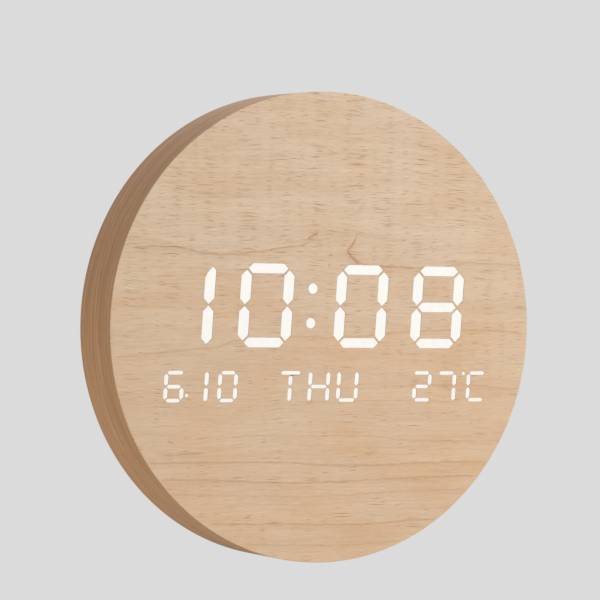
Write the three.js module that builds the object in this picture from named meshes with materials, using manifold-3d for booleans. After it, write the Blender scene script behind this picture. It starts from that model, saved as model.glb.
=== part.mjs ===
// A round wooden LED wall clock with an alarm: a bentwood drum that hangs on one wall screw.
// Millimetres. X runs right as the face is read, Y runs from the face into the wall, Z is up.
// The origin is the middle of the back cover's outer face, which lies on the wall plane.
import * as THREE from "three";
import { mergeVertices } from "three/addons/utils/BufferGeometryUtils.js";
import Module from "manifold-3d";

const wasm = await Module();
wasm.setup();

// ---------------------------------------------------------------- driving dimensions

const CASE_DIAMETER = 250;
const CASE_DEPTH = 38.5;
const CASE_SIDES = 72; // flats that stand for each large circle
const VENEER = 0.6; // face veneer and edge band
const HOOP_WALL = 11.3;
const HOOP_LIP = 2.5; // wood left outside the rebates for the panel and the cover
const PANEL_THICKNESS = 5;
const COVER_THICKNESS = 3;
const BOARD_THICKNESS = 1.6;
const WIRING_GAP = 8.8; // control board to display board

const GLUE_LINE = 0.1;
const FIT = 0.3; // round a part that drops into a recess
const SEAT = 0.1; // between two parts that rest on each other
const HOLE_CLEARANCE = 0.25; // round a screw or a pin

const SCREW = { radius: 1.45, headRadius: 2.8, headHeight: 1.7, tip: 1.5 };
const COVER_SCREW_LENGTH = 10;
const CONTROL_SCREW_LENGTH = 7;
const PANEL_BITE = 2.6; // how far the display screws enter the panel
const STANDOFF_RADIUS = 3;

const DIFFUSER = { sheet: 0.6, recess: 0.15, clearance: 0.12 };
const LED = { width: 3.5, height: 2.8, rise: 0.9 };

const HANGER = { width: 38, height: 26, thickness: 1.2, drop: 2, fromHoop: 20, corner: 3 };
const HANGER_PAD = { thickness: 3, margin: 1.5 }; // cover's extra thickness round the hanger
const HANGER_SCREW = { length: 4, inset: 5 };
const KEYHOLE = { entryRadius: 5, slotRadius: 2.6, rise: 10, drop: 4, clearance: 1.2 };

const BAY = { width: 26, height: 44, depth: 15.4, wall: 1.6, fromHoop: 9 };
const BAY_FLANGE = { reach: 2, thickness: 1.4 };
const CABLE_NOTCH = { width: 8, depth: 7 };
const SOCKET = { width: 8.94, thickness: 3.26, length: 7.35, wall: 0.35, mouth: 6 };
const SOCKET_TONGUE = { width: 6.6, thickness: 0.7, setBack: 1.2 };

const CONTROL = { width: 98, height: 40, inset: 4 };
const BOSS_RADIUS = 3.4;
const PIN = { radius: 1.4, rise: 0.6 };
const BUZZER = { radius: 6, height: 8.3, hole: 1, holeDepth: 2, clearance: 0.6 };
const SOUND_HOLES = { radius: 0.8, circle: 3.6, count: 6 };
const TACT_SWITCH = { side: 6, height: 3.5, boreFloor: 1.6 };
const PLUNGER = { radius: 1.75, rise: 1.2 };
const KEY = { radius: 4.3, travel: 0.5, stemRadius: 2, flangeReach: 1.3, flangeThickness: 1 };
const SLIDE_SWITCH = { width: 10, height: 5, rise: 4.5, slotHeight: 2.2, slotFloor: 2 };
const SLIDER = { width: 4.4, height: 3.2, travel: 2, stem: 1.6, flangeThickness: 1.2 };
const COIN = { radius: 10, thickness: 3.2 };
const COIN_HOLDER = { rim: 2.4, height: 4.6, floor: 1.3, thumbWidth: 10 };
const COIN_CONTACT = { width: 6, thickness: 0.5, gap: 0.15, reach: 6 };
const DOOR = { margin: 4, thickness: 2.5, recess: 0.1, notchWidth: 10, notchHeight: 2, notchDepth: 1.4 };
const DOOR_TONGUE = { width: 5, spread: 7, reach: 2.4, root: 3, thickness: 1.1 };
const CAPACITOR = { radius: 3.15, height: 7.6 };
const CHIP = { side: 10, height: 1.6 };
const CRYSTAL = { width: 11, height: 4.6, rise: 3.4 };
const HEADER = { margin: 1.5, height: 5.2, rise: 4.1, slotDepth: 1.5, slotWidth: 1, fromEdge: 2.5 };
const RIBBON = { width: 14, thickness: 0.5, drop: 30, entry: 1.2 };
const PROBE = { radius: 2.2, reach: 9, rise: 3, leg: 0.6, legSpread: 1.2, foot: 2, footInset: 4 };
const VENTS = { width: 12, height: 1.6, pitch: 4, count: 3 };

// Places on the control board, measured from its middle.
const KEYS = [
  { name: "set", x: 12, z: 8 },
  { name: "up", x: 26, z: 8 },
  { name: "down", x: 40, z: 8 },
];
const SLIDER_AT = { x: 26, z: -9 };
const COIN_AT = { x: -28, z: 1 };
const BUZZER_AT = { x: -4, z: 8 };
const CAPACITOR_AT = { x: -6, z: -12 };
const CHIP_AT = { x: -22, z: 0 };
const CRYSTAL_AT = { x: -33, z: 10.3 };

// Display artwork, drawn for a hoop whose inner radius is ARTWORK_RADIUS.
const ARTWORK_RADIUS = 113;
const SLANT = 0.055; // run of a character's stems per millimetre of height
// halfHeight and halfWidth reach from a character's middle to the middle lines of its segments.
// joined, inLine and free are how far short of a corner a segment ends, by what it meets there.
const TIME_ROW = {
  z: 11.3,
  halfHeight: 19.5,
  halfWidth: 12.6,
  bar: 4.95,
  stem: 6,
  joined: 0.9,
  inLine: 0.4,
  free: -1,
};
const INFO_ROW = {
  z: -31.4,
  halfHeight: 7.25,
  halfWidth: 4.6,
  bar: 1.75,
  stem: 2.35,
  joined: 0.5,
  inLine: 0.4,
  free: -0.5,
};
const LETTER_ROW = { ...INFO_ROW, halfWidth: 5.35 };
const COLON = { x: -8.4, rise: 9.15, radius: 2.75, sides: 24 };
const POINT = { x: -80.6, rise: -4.6, radius: 0.9, sides: 12 };
const DEGREE = { x: 84.9, rise: 7, radius: 0.95, sides: 12 };
// The hours' leading 1 ends in a lopsided tip: [run, rise] from its upper corner, right to left.
const LEADING_TIP = [
  [3, -1.3],
  [1.1, 0.4],
  [-1.8, -2.9],
  [-3, -5.6],
];
const DISPLAY_BOARD = { left: -103, right: 102, bottom: -51, top: 46, corner: 15 };
const DISPLAY_SCREWS = [
  { x: -62, z: 41.6 },
  { x: 62, z: 41.6 },
  { x: -38, z: -46.6 },
  { x: 38, z: -46.6 },
];

// ---------------------------------------------------------------- derived planes and places

const CENTRE = { x: 0, z: 0 };
const CASE_R = CASE_DIAMETER / 2;
const HOOP_OUTER_R = CASE_R - VENEER - GLUE_LINE;
const HOOP_INNER_R = HOOP_OUTER_R - HOOP_WALL;
const REBATE_R = HOOP_OUTER_R - HOOP_LIP;
const COVER_SCREW_R = (HOOP_INNER_R + REBATE_R) / 2;

const FACE_Y = -CASE_DEPTH;
const CORE_FRONT_Y = FACE_Y + VENEER + GLUE_LINE;
const PANEL_BACK_Y = CORE_FRONT_Y + PANEL_THICKNESS;
const SHEET_BACK_Y = CORE_FRONT_Y + DIFFUSER.sheet;
const COVER_INNER_Y = -COVER_THICKNESS;
const CONTROL_GAP = SEAT + BUZZER.height + BUZZER.clearance; // cover to board, under its tallest part
const CONTROL_REAR_Y = COVER_INNER_Y - CONTROL_GAP;
const CONTROL_FRONT_Y = CONTROL_REAR_Y - BOARD_THICKNESS;
const DISPLAY_REAR_Y = CONTROL_FRONT_Y - WIRING_GAP;
const DISPLAY_FRONT_Y = DISPLAY_REAR_Y - BOARD_THICKNESS;

const BAY_BOTTOM_Z = BAY.fromHoop - HOOP_INNER_R;
const BAY_TOP_Z = BAY_BOTTOM_Z + BAY.height;
const CONTROL_MID_Z = BAY_TOP_Z + FIT + CONTROL.height / 2;
const PLUG_Y = CONTROL_REAR_Y + SEAT + SOCKET.thickness / 2; // middle of the socket's mouth
const HANGER_Z = HOOP_INNER_R - HANGER.fromHoop;
const DOOR_SIDE = 2 * (COIN.radius + DOOR.margin);
const HEADER_TOP = CONTROL.height / 2 - HEADER.fromEdge;

/** A place on the control board, as the case's own coordinates give it. */
const onCover = ({ x, z }) => ({ x, z: z + CONTROL_MID_Z });

const COVER_SCREWS = [45, 135, 225, 315].map((degrees) => ({
  x: COVER_SCREW_R * Math.cos(THREE.MathUtils.degToRad(degrees)),
  z: COVER_SCREW_R * Math.sin(THREE.MathUtils.degToRad(degrees)),
}));
const HANGER_SCREWS = [-1, 1].map((side) => ({
  x: side * (HANGER.width / 2 - HANGER_SCREW.inset),
  z: HANGER_Z,
}));
const boardCorner = (sideX, sideZ) => ({
  x: sideX * (CONTROL.width / 2 - CONTROL.inset),
  z: sideZ * (CONTROL.height / 2 - CONTROL.inset),
});
const CONTROL_SCREWS = [boardCorner(-1, 1), boardCorner(1, -1)];
const CONTROL_PINS = [boardCorner(1, 1), boardCorner(-1, -1)];

// ---------------------------------------------------------------- materials

const finish = (color, roughness, metalness = 0) =>
  new THREE.MeshStandardMaterial({ color, roughness, metalness });

const MAPLE_FACE = finish(0xd9bb98, 0.55);
const MAPLE_EDGE = finish(0xa9825c, 0.6);
const PLYWOOD = finish(0xc9a97c, 0.75);
const COVER_PLASTIC = finish(0x2b2b2d, 0.6);
const KEY_PLASTIC = finish(0x4a4a4e, 0.8);
const MILKY = finish(0xfaf7f0, 0.35);
const WHITE_PLASTIC = finish(0xeeeeea, 0.5);
const CIRCUIT_GREEN = finish(0x1f5f3c, 0.45);
const CHIP_BLACK = finish(0x1c1c1e, 0.5);
const ZINC_STEEL = finish(0xb9bcc0, 0.35, 1);
const NICKEL_PLATE = finish(0xd2d4d6, 0.3, 1);
const BRASS = finish(0xc9a04a, 0.35, 1);
const CABLE_GREY = finish(0xc4c6ca, 0.6);

// ---------------------------------------------------------------- geometry helpers

/** A manifold solid of a closed three.js geometry. */
function solid(geometry) {
  const bare = new THREE.BufferGeometry();
  bare.setAttribute("position", geometry.getAttribute("position"));
  bare.setIndex(geometry.index);
  const merged = mergeVertices(bare, 1e-4);
  return new wasm.Manifold(
    new wasm.Mesh({
      numProp: 3,
      vertProperties: merged.getAttribute("position").array,
      triVerts: new Uint32Array(merged.index.array),
    }),
  );
}

/** A flat-shaded three.js geometry of a manifold solid. */
function geometryOf(body) {
  const { vertProperties, triVerts } = body.getMesh();
  const geometry = new THREE.BufferGeometry();
  geometry.setAttribute("position", new THREE.BufferAttribute(vertProperties, 3));
  geometry.setIndex(new THREE.BufferAttribute(triVerts, 1));
  const flat = geometry.toNonIndexed();
  flat.computeVertexNormals();
  return flat;
}

const joinAll = (bodies) => bodies.reduce((sum, body) => sum.add(body));
const cutAll = (body, cutters) =>
  cutters.length ? body.subtract(joinAll(cutters)) : body;

/** Box given by its X, Y and Z spans. */
function block([x0, x1], [y0, y1], [z0, z1]) {
  const box = new THREE.BoxGeometry(x1 - x0, y1 - y0, z1 - z0);
  return solid(box.translate((x0 + x1) / 2, (y0 + y1) / 2, (z0 + z1) / 2));
}

/** Box round a place in the XZ plane, over a Y span. */
const slab = ({ x, z }, width, height, ySpan) =>
  block([x - width / 2, x + width / 2], ySpan, [z - height / 2, z + height / 2]);

/** Outline of [x, z] points extruded over a Y span, with outlines cut through it. */
function plate(outline, [y0, y1], holes = []) {
  const shape = new THREE.Shape(outline.map(([x, z]) => new THREE.Vector2(x, z)));
  const geometry = new THREE.ExtrudeGeometry(shape, {
    depth: y1 - y0,
    bevelEnabled: false,
  });
  const body = solid(geometry.rotateX(Math.PI / 2).translate(0, y1, 0));
  return cutAll(
    body,
    holes.map((hole) => plate(hole, [y0 - 1, y1 + 1])),
  );
}

/** Points round a circle in the XZ plane. */
const circle = ({ x, z }, radius, sides) =>
  Array.from({ length: sides }, (_, i) => {
    const angle = (2 * Math.PI * i) / sides;
    return [x + radius * Math.cos(angle), z + radius * Math.sin(angle)];
  });

/** Round bar along Y. */
const rod = (at, radius, ySpan, sides = 12) => plate(circle(at, radius, sides), ySpan);

/** Turned solid about the Y axis; the profile lists [radius, y] anticlockwise. */
function turned(profile, sides) {
  const points = profile.map(([radius, y]) => new THREE.Vector2(radius, y));
  return solid(new THREE.LatheGeometry(points, sides, Math.PI / 2));
}

/** Disc that fills a rebate of the hoop. */
const rebateDisc = (ySpan) => rod(CENTRE, REBATE_R - FIT, ySpan, CASE_SIDES);

/** Hole that a screw's shank drops into. */
const screwHole = (at, ySpan) => rod(at, SCREW.radius + HOLE_CLEARANCE, ySpan);

const rectangle = (left, right, bottom, top) => [
  [left, bottom],
  [right, bottom],
  [right, top],
  [left, top],
];

/** Rectangle with its corners cut off. */
const chamfered = (left, right, bottom, top, cut) => [
  [left, bottom + cut],
  [left + cut, bottom],
  [right - cut, bottom],
  [right, bottom + cut],
  [right, top - cut],
  [right - cut, top],
  [left + cut, top],
  [left, top - cut],
];

/** Anticlockwise outline with each side moved outwards by a margin. */
function grown(outline, margin) {
  const count = outline.length;
  const outward = (i) => {
    const [x0, z0] = outline[(i + count) % count];
    const [x1, z1] = outline[(i + 1) % count];
    const length = Math.hypot(x1 - x0, z1 - z0);
    return [(z1 - z0) / length, (x0 - x1) / length];
  };
  return outline.map(([x, z], i) => {
    const [mx, mz] = outward(i - 1);
    const [nx, nz] = outward(i);
    const scale = margin / (1 + mx * nx + mz * nz);
    return [x + (mx + nx) * scale, z + (mz + nz) * scale];
  });
}

// ---------------------------------------------------------------- display artwork

const art = (mm) => (mm * HOOP_INNER_R) / ARTWORK_RADIUS;

// A segment joins two corners of a character: column 0, 0.5 or 1, and level 0 (bottom), 1 or 2.
const SEGMENTS = {
  a: [[0, 2], [1, 2]],
  b: [[1, 1], [1, 2]],
  c: [[1, 0], [1, 1]],
  d: [[0, 0], [1, 0]],
  e: [[0, 0], [0, 1]],
  f: [[0, 1], [0, 2]],
  g: [[0, 1], [1, 1]],
  h: [[0.5, 1], [0.5, 2]],
  i: [[0.5, 0], [0.5, 1]],
};
const GLYPHS = {
  0: "abcdef",
  1: "bc",
  2: "abged",
  6: "afgedc",
  7: "abc",
  8: "abcdefg",
  C: "afed",
  T: "ahi",
  H: "fegbc",
  U: "fedcb",
};
const DIGIT_CELL = "abcdefg";
const LETTER_CELL = "abcdefghi";

const isBar = (name) => "adg".includes(name);

/** How far short of a corner a segment ends, by which other segments meet there. */
function shortfall(row, names, name, [column, level]) {
  const crossed = [...names].some(
    (other) => isBar(other) && SEGMENTS[other][0][1] === level,
  );
  if (column === 0.5 && crossed) return row.bar / 2 + row.inLine;
  const others = [...names].filter(
    (other) =>
      other !== name && SEGMENTS[other].some(([c, l]) => c === column && l === level),
  );
  if (!others.length) return row.free;
  return others.some((other) => isBar(other) !== isBar(name)) ? row.joined : row.inLine;
}

/** A point of the slanted character with its middle at x, offset from one of its corners. */
function cornerPoint(row, x, [column, level], dx, dz) {
  const z = (level - 1) * row.halfHeight + dz;
  const run = (2 * column - 1) * row.halfWidth + dx;
  return [art(x + run + SLANT * z), art(row.z + z)];
}

/** Anticlockwise hexagons of a character's named segments, with its middle at x. */
function character(row, x, names) {
  return [...names].map((name) => {
    const [start, end] = SEGMENTS[name];
    const bar = isBar(name);
    const half = (bar ? row.bar : row.stem) / 2;
    const at = (corner, along, side) =>
      bar
        ? cornerPoint(row, x, corner, along, -side)
        : cornerPoint(row, x, corner, side, along);
    const first = shortfall(row, names, name, start);
    const last = -shortfall(row, names, name, end);
    return [
      at(start, first, 0),
      at(start, first + half, half),
      at(end, last - half, half),
      at(end, last, 0),
      at(end, last - half, -half),
      at(start, first + half, -half),
    ];
  });
}

/** A round dot in a row; rise is its height above the row's middle. */
const dot = (row, { x, rise, radius, sides }) =>
  circle({ x: art(x + SLANT * rise), z: art(row.z + rise) }, art(radius), sides);

/** Outlines of the characters of a text, each with its middle at its own x. */
const written = (row, text, xs) =>
  xs.flatMap((x, i) => character(row, x, GLYPHS[text[i]]));

/** The hours' leading 1, with the lopsided tip on its upper segment. */
function leadingOne(x) {
  const [upper, lower] = character(TIME_ROW, x, GLYPHS[1]);
  const tip = LEADING_TIP.map(([dx, dz]) =>
    cornerPoint(TIME_ROW, x, SEGMENTS.b[1], dx, dz),
  );
  return [[...upper.slice(0, 2), ...tip, upper[5]], lower];
}

/** Outlines of the same named segments at each x. */
const cells = (row, names, xs) => xs.flatMap((x) => character(row, x, names));

const HOUR_X = [-81.7, -35.5];
const MINUTE_X = [21.3, 68];
const MONTH_X = -88.3;
const DAY_X = [-74.3, -57.3];
const WEEKDAY_X = [-20.6, -3.4, 13.8];
const DEGREES_X = [59.5, 74.8];
const UNIT_X = 92.9;

const colonDots = [-1, 1].map((side) =>
  dot(TIME_ROW, { ...COLON, rise: side * COLON.rise }),
);
const decimalPoint = dot(INFO_ROW, POINT);
const degreeDot = dot(INFO_ROW, DEGREE);

// Each group of characters has one reflector and one diffuser, whose left, right, bottom and top
// edges are listed.
const MODULES = [
  {
    name: "hours",
    edges: [-101, -3, -13.9, 36.8],
    lit: [
      ...leadingOne(HOUR_X[0]),
      ...written(TIME_ROW, "0", HOUR_X.slice(1)),
      ...colonDots,
    ],
    cells: [...cells(TIME_ROW, DIGIT_CELL, HOUR_X), ...colonDots],
  },
  {
    name: "minutes",
    edges: [2.2, 88.6, -13.9, 36.8],
    lit: written(TIME_ROW, "08", MINUTE_X),
    cells: cells(TIME_ROW, DIGIT_CELL, MINUTE_X),
  },
  {
    name: "date",
    edges: [-97.4, -49.6, -42, -20.2],
    lit: [...written(INFO_ROW, "610", [MONTH_X, ...DAY_X]), decimalPoint],
    cells: [
      ...cells(INFO_ROW, DIGIT_CELL, [MONTH_X, DAY_X[1]]),
      ...cells(INFO_ROW, "abcdeg", [DAY_X[0]]),
      decimalPoint,
    ],
  },
  {
    name: "weekday",
    edges: [-30, 22, -42, -20.2],
    lit: written(LETTER_ROW, "THU", WEEKDAY_X),
    cells: [
      ...cells(LETTER_ROW, LETTER_CELL, [WEEKDAY_X[0]]),
      ...cells(LETTER_ROW, DIGIT_CELL, WEEKDAY_X.slice(1)),
    ],
  },
  {
    name: "temperature",
    edges: [50.6, 100.6, -42, -20.2],
    lit: [...written(INFO_ROW, "27C", [...DEGREES_X, UNIT_X]), degreeDot],
    cells: [
      ...cells(INFO_ROW, DIGIT_CELL, DEGREES_X),
      ...cells(INFO_ROW, GLYPHS.C, [UNIT_X]),
      degreeDot,
    ],
  },
];
const TIME_MODULES = MODULES.slice(0, 2);

/** A module's rectangle, grown by a margin on each side. */
const moduleOutline = ({ edges }, margin = 0) =>
  grown(rectangle(...edges.map(art)), margin);

/** Mean of an outline's points. */
function middleOf(outline) {
  const mean = (axis) =>
    outline.reduce((sum, point) => sum + point[axis], 0) / outline.length;
  return { x: mean(0), z: mean(1) };
}

// ---------------------------------------------------------------- case

/** Slot through the rim for the supply cable, at the bottom of the drum's rear edge. */
const cableNotch = () =>
  block(
    [-CABLE_NOTCH.width / 2, CABLE_NOTCH.width / 2],
    [-CABLE_NOTCH.depth, 1],
    [-CASE_R - 1, BAY_BOTTOM_Z],
  );

const faceVeneer = () =>
  plate(
    circle(CENTRE, CASE_R, CASE_SIDES),
    [FACE_Y, FACE_Y + VENEER],
    MODULES.flatMap((module) =>
      module.lit.map((outline) => grown(outline, DIFFUSER.clearance)),
    ),
  );

function edgeBand() {
  const inner = CASE_R - VENEER;
  const profile = [
    [inner, CORE_FRONT_Y],
    [CASE_R, CORE_FRONT_Y],
    [CASE_R, 0],
    [inner, 0],
    [inner, CORE_FRONT_Y],
  ];
  return turned(profile, CASE_SIDES).subtract(cableNotch());
}

function caseHoop() {
  const panelSeat = PANEL_BACK_Y + SEAT;
  const coverSeat = COVER_INNER_Y - SEAT;
  const profile = [
    [HOOP_INNER_R, panelSeat],
    [REBATE_R, panelSeat],
    [REBATE_R, CORE_FRONT_Y],
    [HOOP_OUTER_R, CORE_FRONT_Y],
    [HOOP_OUTER_R, 0],
    [REBATE_R, 0],
    [REBATE_R, coverSeat],
    [HOOP_INNER_R, coverSeat],
    [HOOP_INNER_R, panelSeat],
  ];
  const pilotEnd = -SCREW.headHeight - COVER_SCREW_LENGTH - SCREW.tip;
  return cutAll(turned(profile, CASE_SIDES), [
    cableNotch(),
    ...COVER_SCREWS.map((at) => screwHole(at, [pilotEnd, 0])),
  ]);
}

function frontPanel() {
  const windows = MODULES.map((module) =>
    plate(moduleOutline(module, FIT), [CORE_FRONT_Y - 1, PANEL_BACK_Y + 1]),
  );
  const pilots = DISPLAY_SCREWS.map(({ x, z }) =>
    screwHole({ x: art(x), z: art(z) }, [
      PANEL_BACK_Y - PANEL_BITE - HOLE_CLEARANCE,
      PANEL_BACK_Y + 1,
    ]),
  );
  return cutAll(rebateDisc([CORE_FRONT_Y, PANEL_BACK_Y]), [...windows, ...pilots]);
}

// ---------------------------------------------------------------- display

/** Milky sheet with its lit segments standing in the veneer's windows. */
function diffuser(module) {
  const segments = module.lit.map((outline) =>
    plate(outline, [FACE_Y + DIFFUSER.recess, SHEET_BACK_Y]),
  );
  const sheet = plate(moduleOutline(module), [CORE_FRONT_Y, SHEET_BACK_Y]);
  return joinAll([sheet, ...segments]);
}

/** Light box with an open cell behind each segment. */
const reflector = (module) =>
  plate(
    moduleOutline(module),
    [SHEET_BACK_Y + SEAT, DISPLAY_FRONT_Y - SEAT],
    module.cells,
  );

function displayBoard() {
  const { left, right, bottom, top, corner } = DISPLAY_BOARD;
  const outline = chamfered(left, right, bottom, top, corner);
  const board = plate(
    outline.map((point) => point.map(art)),
    [DISPLAY_FRONT_Y, DISPLAY_REAR_Y],
  );
  const lamps = TIME_MODULES.flatMap((module) =>
    module.cells.map((outline) =>
      slab(middleOf(outline), art(LED.width), art(LED.height), [
        DISPLAY_FRONT_Y - LED.rise,
        DISPLAY_REAR_Y,
      ]),
    ),
  );
  const holes = DISPLAY_SCREWS.map(({ x, z }) =>
    screwHole({ x: art(x), z: art(z) }, [DISPLAY_FRONT_Y - 1, DISPLAY_REAR_Y + 1]),
  );
  return cutAll(joinAll([board, ...lamps]), holes);
}

/** Spacer tube between the front panel and the display board. */
function standoff() {
  const [front, rear] = [PANEL_BACK_Y + SEAT, DISPLAY_FRONT_Y - SEAT];
  return rod(CENTRE, STANDOFF_RADIUS, [front, rear]).subtract(
    screwHole(CENTRE, [front - 1, rear + 1]),
  );
}

/** Pan-head screw with its head's seat at the origin and its shank along -Y. */
function screw(length, headHeight = SCREW.headHeight) {
  const profile = [
    [0, -length],
    [SCREW.radius / 3, -length],
    [SCREW.radius, SCREW.tip - length],
    [SCREW.radius, 0],
    [SCREW.headRadius, 0],
    [SCREW.headRadius, headHeight],
    [0, headHeight],
  ];
  return turned(profile, 12);
}

// ---------------------------------------------------------------- back cover and its fittings

const THROUGH_COVER = [COVER_INNER_Y - 1, 1];

/** Recess, window and pilot holes for the hanger plate. */
function hangerSeat() {
  const throughPad = [COVER_INNER_Y - HANGER_PAD.thickness - 1, 1];
  const recess = slab(
    { x: 0, z: HANGER_Z },
    HANGER.width + 2 * FIT,
    HANGER.height + 2 * FIT,
    [-HANGER.drop - SEAT, 1],
  );
  const halfWindow = KEYHOLE.entryRadius + KEYHOLE.clearance;
  const entryZ = HANGER_Z - KEYHOLE.drop;
  const slotEndZ = entryZ + KEYHOLE.rise + KEYHOLE.slotRadius;
  const window = block([-halfWindow, halfWindow], throughPad, [
    entryZ - halfWindow,
    slotEndZ + KEYHOLE.clearance,
  ]);
  return [recess, window, ...HANGER_SCREWS.map((at) => screwHole(at, throughPad))];
}

/** Bosses and locating pins that carry the control board. */
function boardMounts() {
  const rest = CONTROL_REAR_Y + SEAT;
  const bosses = [...CONTROL_SCREWS, ...CONTROL_PINS].map((at) =>
    rod(onCover(at), BOSS_RADIUS, [rest, COVER_INNER_Y + 1]),
  );
  const pins = CONTROL_PINS.map((at) =>
    rod(onCover(at), PIN.radius, [CONTROL_FRONT_Y - PIN.rise, rest + 1]),
  );
  return [...bosses, ...pins];
}

/** Holes over the buzzer: one in the middle of a ring of them. */
const soundHoles = () =>
  [
    [BUZZER_AT.x, BUZZER_AT.z],
    ...circle(BUZZER_AT, SOUND_HOLES.circle, SOUND_HOLES.count),
  ].map(([x, z]) => rod(onCover({ x, z }), SOUND_HOLES.radius, THROUGH_COVER, 8));

/** Slots beside the board's edge, over the temperature probe. */
const vents = () =>
  Array.from({ length: VENTS.count }, (_, i) => {
    const at = onCover({
      x: (CONTROL.width + VENTS.width) / 2 + FIT,
      z: (i - (VENTS.count - 1) / 2) * VENTS.pitch,
    });
    return slab(at, VENTS.width, VENTS.height, THROUGH_COVER);
  });

function backCover() {
  const pad = slab(
    { x: 0, z: HANGER_Z },
    HANGER.width + 2 * HANGER_PAD.margin,
    HANGER.height + 2 * HANGER_PAD.margin,
    [COVER_INNER_Y - HANGER_PAD.thickness, COVER_INNER_Y + 1],
  );
  const counterbores = COVER_SCREWS.flatMap((at) => [
    rod(at, SCREW.headRadius + FIT, [-SCREW.headHeight - 2 * SEAT, 1]),
    screwHole(at, THROUGH_COVER),
  ]);
  const boardPilots = CONTROL_SCREWS.map((at) =>
    screwHole(onCover(at), [
      CONTROL_REAR_Y - 1,
      CONTROL_FRONT_Y + CONTROL_SCREW_LENGTH + FIT,
    ]),
  );
  const bayOpening = block([-BAY.width / 2, BAY.width / 2], THROUGH_COVER, [
    BAY_BOTTOM_Z,
    BAY_TOP_Z,
  ]);
  const cableChannel = block(
    [-CABLE_NOTCH.width / 2, CABLE_NOTCH.width / 2],
    THROUGH_COVER,
    [-CASE_R, BAY_BOTTOM_Z + 1],
  );
  const doorOpening = slab(onCover(COIN_AT), DOOR_SIDE, DOOR_SIDE, THROUGH_COVER);
  const keyHoles = KEYS.map((key) =>
    rod(onCover(key), KEY.radius + FIT, THROUGH_COVER, 20),
  );
  const sliderSlot = slab(
    onCover({ x: SLIDER_AT.x + SLIDER.travel / 2, z: SLIDER_AT.z }),
    SLIDER.width + SLIDER.travel + 2 * FIT,
    SLIDER.height + 2 * FIT,
    THROUGH_COVER,
  );
  return cutAll(joinAll([rebateDisc([COVER_INNER_Y, 0]), pad, ...boardMounts()]), [
    ...counterbores,
    ...boardPilots,
    ...hangerSeat(),
    bayOpening,
    cableChannel,
    doorOpening,
    ...keyHoles,
    sliderSlot,
    ...soundHoles(),
    ...vents(),
  ]);
}

/** Moulded tub for the supply plug, open to the wall and to the cable notch. */
function connectorBay() {
  const half = BAY.width / 2 - FIT;
  const bottom = BAY_BOTTOM_Z + FIT;
  const top = BAY_TOP_Z - FIT;
  const flangeRear = COVER_INNER_Y - SEAT;
  const tub = block([-half, half], [-BAY.depth - BAY.wall, -SEAT], [bottom, top]);
  const flange = block(
    [-half - BAY_FLANGE.reach, half + BAY_FLANGE.reach],
    [flangeRear - BAY_FLANGE.thickness, flangeRear],
    [bottom - BAY_FLANGE.reach, top],
  );
  const hollow = block([BAY.wall - half, half - BAY.wall], [-BAY.depth, 1], [
    bottom + BAY.wall,
    top - BAY.wall,
  ]);
  const mouthHalf = SOCKET.thickness / 2 + FIT;
  const socketMouth = slab({ x: 0, z: top }, SOCKET.width + 2 * FIT, 4 * BAY.wall, [
    PLUG_Y - mouthHalf,
    PLUG_Y + mouthHalf,
  ]);
  const cableWay = block(
    [FIT - CABLE_NOTCH.width / 2, CABLE_NOTCH.width / 2 - FIT],
    [-CABLE_NOTCH.depth, 1],
    [bottom - BAY_FLANGE.reach - 1, bottom + BAY.wall + 1],
  );
  return cutAll(joinAll([tub, flange]), [hollow, socketMouth, cableWay]);
}

function hangerPlate() {
  const outline = chamfered(
    -HANGER.width / 2,
    HANGER.width / 2,
    HANGER_Z - HANGER.height / 2,
    HANGER_Z + HANGER.height / 2,
    HANGER.corner,
  );
  const through = [-HANGER.drop - 1, 1];
  const entry = { x: 0, z: HANGER_Z - KEYHOLE.drop };
  const slotEnd = { x: 0, z: entry.z + KEYHOLE.rise };
  const slot = block([-KEYHOLE.slotRadius, KEYHOLE.slotRadius], through, [
    entry.z,
    slotEnd.z,
  ]);
  return cutAll(plate(outline, [-HANGER.drop, HANGER.thickness - HANGER.drop]), [
    rod(entry, KEYHOLE.entryRadius, through, 24),
    rod(slotEnd, KEYHOLE.slotRadius, through, 16),
    slot,
    ...HANGER_SCREWS.map((at) => screwHole(at, through)),
  ]);
}

/** Lid over the coin cell; it tips open about its upper outer edge. */
function batteryDoor() {
  const { x, z } = onCover(COIN_AT);
  const half = DOOR_SIDE / 2 - FIT;
  const inner = -DOOR.recess - DOOR.thickness;
  const lid = slab({ x, z }, 2 * half, 2 * half, [inner, -DOOR.recess]);
  const tongueRear = COVER_INNER_Y - FIT;
  const tongueFront = tongueRear - DOOR_TONGUE.thickness;
  const rootZ = z + half - DOOR_TONGUE.root;
  const tongues = [-DOOR_TONGUE.spread, DOOR_TONGUE.spread].flatMap((dx) => {
    const xSpan = [x + dx - DOOR_TONGUE.width / 2, x + dx + DOOR_TONGUE.width / 2];
    return [
      block(xSpan, [tongueFront, inner + 1], [rootZ - 1, rootZ + 1]),
      block(xSpan, [tongueFront, tongueRear], [rootZ, z + half + DOOR_TONGUE.reach]),
    ];
  });
  const fingerNotch = slab({ x, z: z - half }, DOOR.notchWidth, 2 * DOOR.notchHeight, [
    -DOOR.recess - DOOR.notchDepth,
    1,
  ]);
  return joinAll([lid, ...tongues]).subtract(fingerNotch);
}

// ---------------------------------------------------------------- control board
// These pieces are drawn about the board's middle, with y = 0 on its rear face.

const FRONT = -BOARD_THICKNESS;
const PLUNGER_TOP = TACT_SWITCH.height + PLUNGER.rise;
const CAP_TOP = CONTROL_GAP + COVER_THICKNESS - FIT; // keys and slider stop short of the wall plane
const FLANGE_REAR = CONTROL_GAP - FIT;
const COIN_SEAT = COIN_HOLDER.floor + 2 * SEAT;
const RIBBON_Y = FRONT - SEAT - HEADER.rise / 2; // middle of the header's slot

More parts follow.
